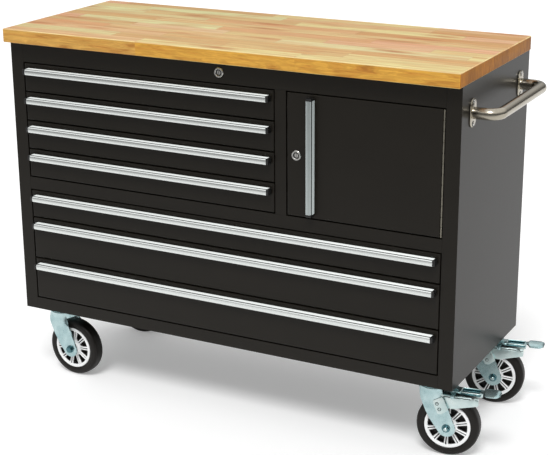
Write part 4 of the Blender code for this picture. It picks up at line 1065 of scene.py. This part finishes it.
def addPedal(corner, values):
    # A pressed tray with a beaded pocket and a spoon tread, hung between its ears on a cross pin
    name = f"caster_{corner}"
    start, half, top, floor, bead = (values[k] for k in ("start", "half", "top", "floor", "bead"))
    near, far = values["pocket"]
    pocketHalf = half - bead
    loop = rounded(rectangle((near, -pocketHalf), (far, pocketHalf)), values["pocketCorner"], 5)
    wall = (top - floor) / 2 - 0.6
    wallPath = np.column_stack([loop, np.full(len(loop), (top + floor) / 2)])
    beadPath = np.column_stack([loop, np.full(len(loop), top - bead)])
    # The pocket's floor and walls are zinc drawn darker as painted shade, its bead brighter zinc as painted
    # highlight
    shapes = [
        (block((start, -half, floor), (near + 2, half, top - 0.6), 3, 1.0), "zinc"),
        (spoonShape(values), "zinc"),
        (block((start, -half, floor), (far + 1, half, floor + values["sheet"]), 2, 0.4), "zincShaded"),
        (swept([(-0.9, -wall), (0.9, -wall), (0.9, wall), (-0.9, wall)], wallPath, closed=True), "zincShaded"),
        (tube(beadPath, bead, 10, True), "zincCheekAndHighlight")]
    pivotX, pivotZ = brakeValues["pivot"]
    ear = rounded([(start, floor + 1), (pivotX + 6, floor + 1), (pivotX + 4, pivotZ - 3.4),
                   (start + 4, pivotZ - 3.4)], 2.5, 3)
    radius, reach = values["pinRadius"], values["pinHalf"]
    for side in (-1, 1):
        low, high = sorted((side * (half - 2), side * half))
        shapes += [(moved(plate(ear, low, high, 0.4, 2), then=acrossY), "zinc"),
                   (outwards(dome(*values["pinHead"]), pivotX, pivotZ, reach + 0.2, side), "zinc")]
    pin = turned([(0, -reach), (radius, -reach), (radius, reach), (0, reach)], 20, False)
    shapes.append((moved(pin, (pivotX, 0, pivotZ), 90, "X"), "zinc"))
    addPiece(f"{name}_brake_lever", shapes, f"{name}_pedal", [f"{name}_brake_pedal"], sharp=40,
             place=swivelMatrix(corner))


for corner, (_, _, braked) in casterAngles.items():
    addTopPlate(corner, casterValues)
    addFork(corner, casterValues, brakeValues)
    addAxleBolt(corner, casterValues)
    addWheel(corner, wheelValues)
    if braked:
        addPedal(corner, pedalValues)
print("casters done")


# Finishes of the CAD nodes that show as they are
trayValues = {
    "sideGap": 0.003,        # metres, from a drawer's front to its bank's sides
    "slide": 0.0127,
    "frontDepth": 0.018,
    "clear": (0.0003, 0.001),  # how far the bare steel starts beside the tray and behind the front
}
nodeFinishes = {
    "blackCoat": ("side_panel_left", "side_panel_right", "back_panel", "floor_panel", "divider_shelf",
                  "partition", "top_frame", "door_panel"),
    "slideSteel": [f"runner_rack_{bank}_{side}" for bank in ("upper", "lower") for side in ("left", "right")],
    "nickel": ("main_lock_plug", "door_lock_plug"),
    "upperCoat": [f"drawer_{number}_box" for number in range(1, 5)],
    "lowerCoat": [f"drawer_{number}_box" for number in range(5, 8)],
}


def trayPaint(name, firstDrawer, values):
    # Black paint on a bank's drawers, bare steel on the slide members beside their trays
    low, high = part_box(f"{firstDrawer}_box")
    half = (high[0] - low[0]) / 2 + values["sideGap"] - values["slide"] + values["clear"][0]
    front = low[1] + values["frontDepth"] + values["clear"][1]
    return addPaint(name, *finishes["blackCoat"][2:],
                    steel=(finishes["slideSteel"][2], (low[0] + high[0]) / 2, half, front))


finish["upperCoat"] = trayPaint("blackPowderCoatUpperDrawers", "drawer_1", trayValues)
finish["lowerCoat"] = trayPaint("blackPowderCoatLowerDrawers", "drawer_5", trayValues)
for key, names in nodeFinishes.items():
    for node in names:
        slots = nodes[node].material_slots
        if not slots:
            nodes[node].data.materials.append(finish[key])
        for slot in slots:
            slot.material = finish[key]
print("node finishes done")


# Stage and light
stageValues = {
    "floorSize": 40.0,
    "floorPoints": 9,
    "floorColour": "#f4f4f4",
    "floorGlow": 0.23,              # seen by the camera
    "floorGleam": 0.10,             # seen in reflections
    "floorFade": (-0.35, -3.2, 0.30),  # y where reflections of the floor start and end to darken, last share
    "skyLight": 0.63,
    "roomDark": 0.14,               # what metal sees at eye level, all round
    "roomHeight": (0.30, 0.65),     # where the bright ceiling starts and is full, as a share of straight up
    "roomTilt": 0.15,               # how much lower the bright ceiling reaches behind the cart
    "sunStrength": 1.65,
    "sunAngle": 20.0,
    "sunDirection": (-0.18, 0.67, -1.0),
}


def addSeenShare(add):
    # 1 for rays that see the background itself or its reflection, 0 for the light it gives
    path = add("LightPath")
    seen = path.outputs["Is Camera Ray"]
    for kind in ("Is Glossy Ray", "Is Transmission Ray"):
        seen = add("Math", (seen, path.outputs[kind]), operation="MAXIMUM")
    return seen, path.outputs["Is Glossy Ray"]


def addFloor(values):
    # A flat grid; its glow is for rays that see it, and reflections of it fade to black towards the front
    mesh = bpy.data.meshes.new("studioFloor")
    count, size = values["floorPoints"], values["floorSize"] / 2
    steps = np.linspace(-size, size, count)
    grid = np.stack(np.meshgrid(steps, steps, indexing="ij") + [np.zeros((count, count))], -1)
    points, faces = surface(grid)
    mesh.from_pydata(points, [], faces)
    floor = bpy.data.objects.new("studioFloor", mesh)
    bpy.context.scene.collection.objects.link(floor)
    material, add, place = newMaterial("studioFloor")
    seen, glossy = addSeenShare(add)
    glow = add("MapRange", (glossy, 0, 1, values["floorGlow"], values["floorGleam"]))
    glow = add("Math", (seen, glow), operation="MULTIPLY")
    axes = add("SeparateXYZ", (place,))
    nearest, furthest, last = values["floorFade"]
    fade = add("MapRange", (axes.outputs[1], furthest, nearest, 1 - last, 0.0))
    fade = add("Math", (fade, glossy), operation="MULTIPLY")
    pale = add("BsdfDiffuse", {"Color": linear(values["floorColour"])})
    black = add("BsdfDiffuse", {"Color": (0, 0, 0, 1)})
    lit = add("AddShader", {0: pale, 1: add("Emission", {"Strength": glow})})
    add("OutputMaterial", {"Surface": add("MixShader", {0: fade, 1: lit, 2: black})})
    mesh.materials.append(material)


def addSky(values):
    # Plain white to the camera, even soft light on the object, and to metal a dim room below a bright ceiling
    world = bpy.data.worlds.new("studioSky")
    bpy.context.scene.world = world
    add = emptyTree(world)
    seen, glossy = addSeenShare(add)
    axes = add("SeparateXYZ", (add("TexCoord").outputs["Generated"],))
    behind = add("Math", (axes.outputs[1], 0.0), operation="MAXIMUM")
    height = add("Math", (behind, values["roomTilt"], axes.outputs[2]), operation="MULTIPLY_ADD")
    start, full = values["roomHeight"]
    room = add("MapRange", (height, start, full, values["roomDark"], 1.0))
    strength = add("MapRange", (seen, 0, 1, values["skyLight"], 1.0))
    strength = add("Mix", {0: glossy, 2: strength, 3: room}, data_type="FLOAT")
    sky = add("Background", {"Color": (1, 1, 1, 1), "Strength": strength})
    add("OutputWorld", {"Surface": sky})


def addSoftbox(values):
    # A wide sun, high up in front and slightly to the right
    sun = bpy.data.lights.new("softbox", "SUN")
    sun.energy = values["sunStrength"]
    sun.angle = math.radians(values["sunAngle"])
    lamp = bpy.data.objects.new("softbox", sun)
    lamp.rotation_euler = Vector(values["sunDirection"]).to_track_quat("-Z", "Y").to_euler()
    bpy.context.scene.collection.objects.link(lamp)


addFloor(stageValues)
addSky(stageValues)
addSoftbox(stageValues)
bpy.context.scene.view_settings.view_transform = "Standard"

print("scene done")
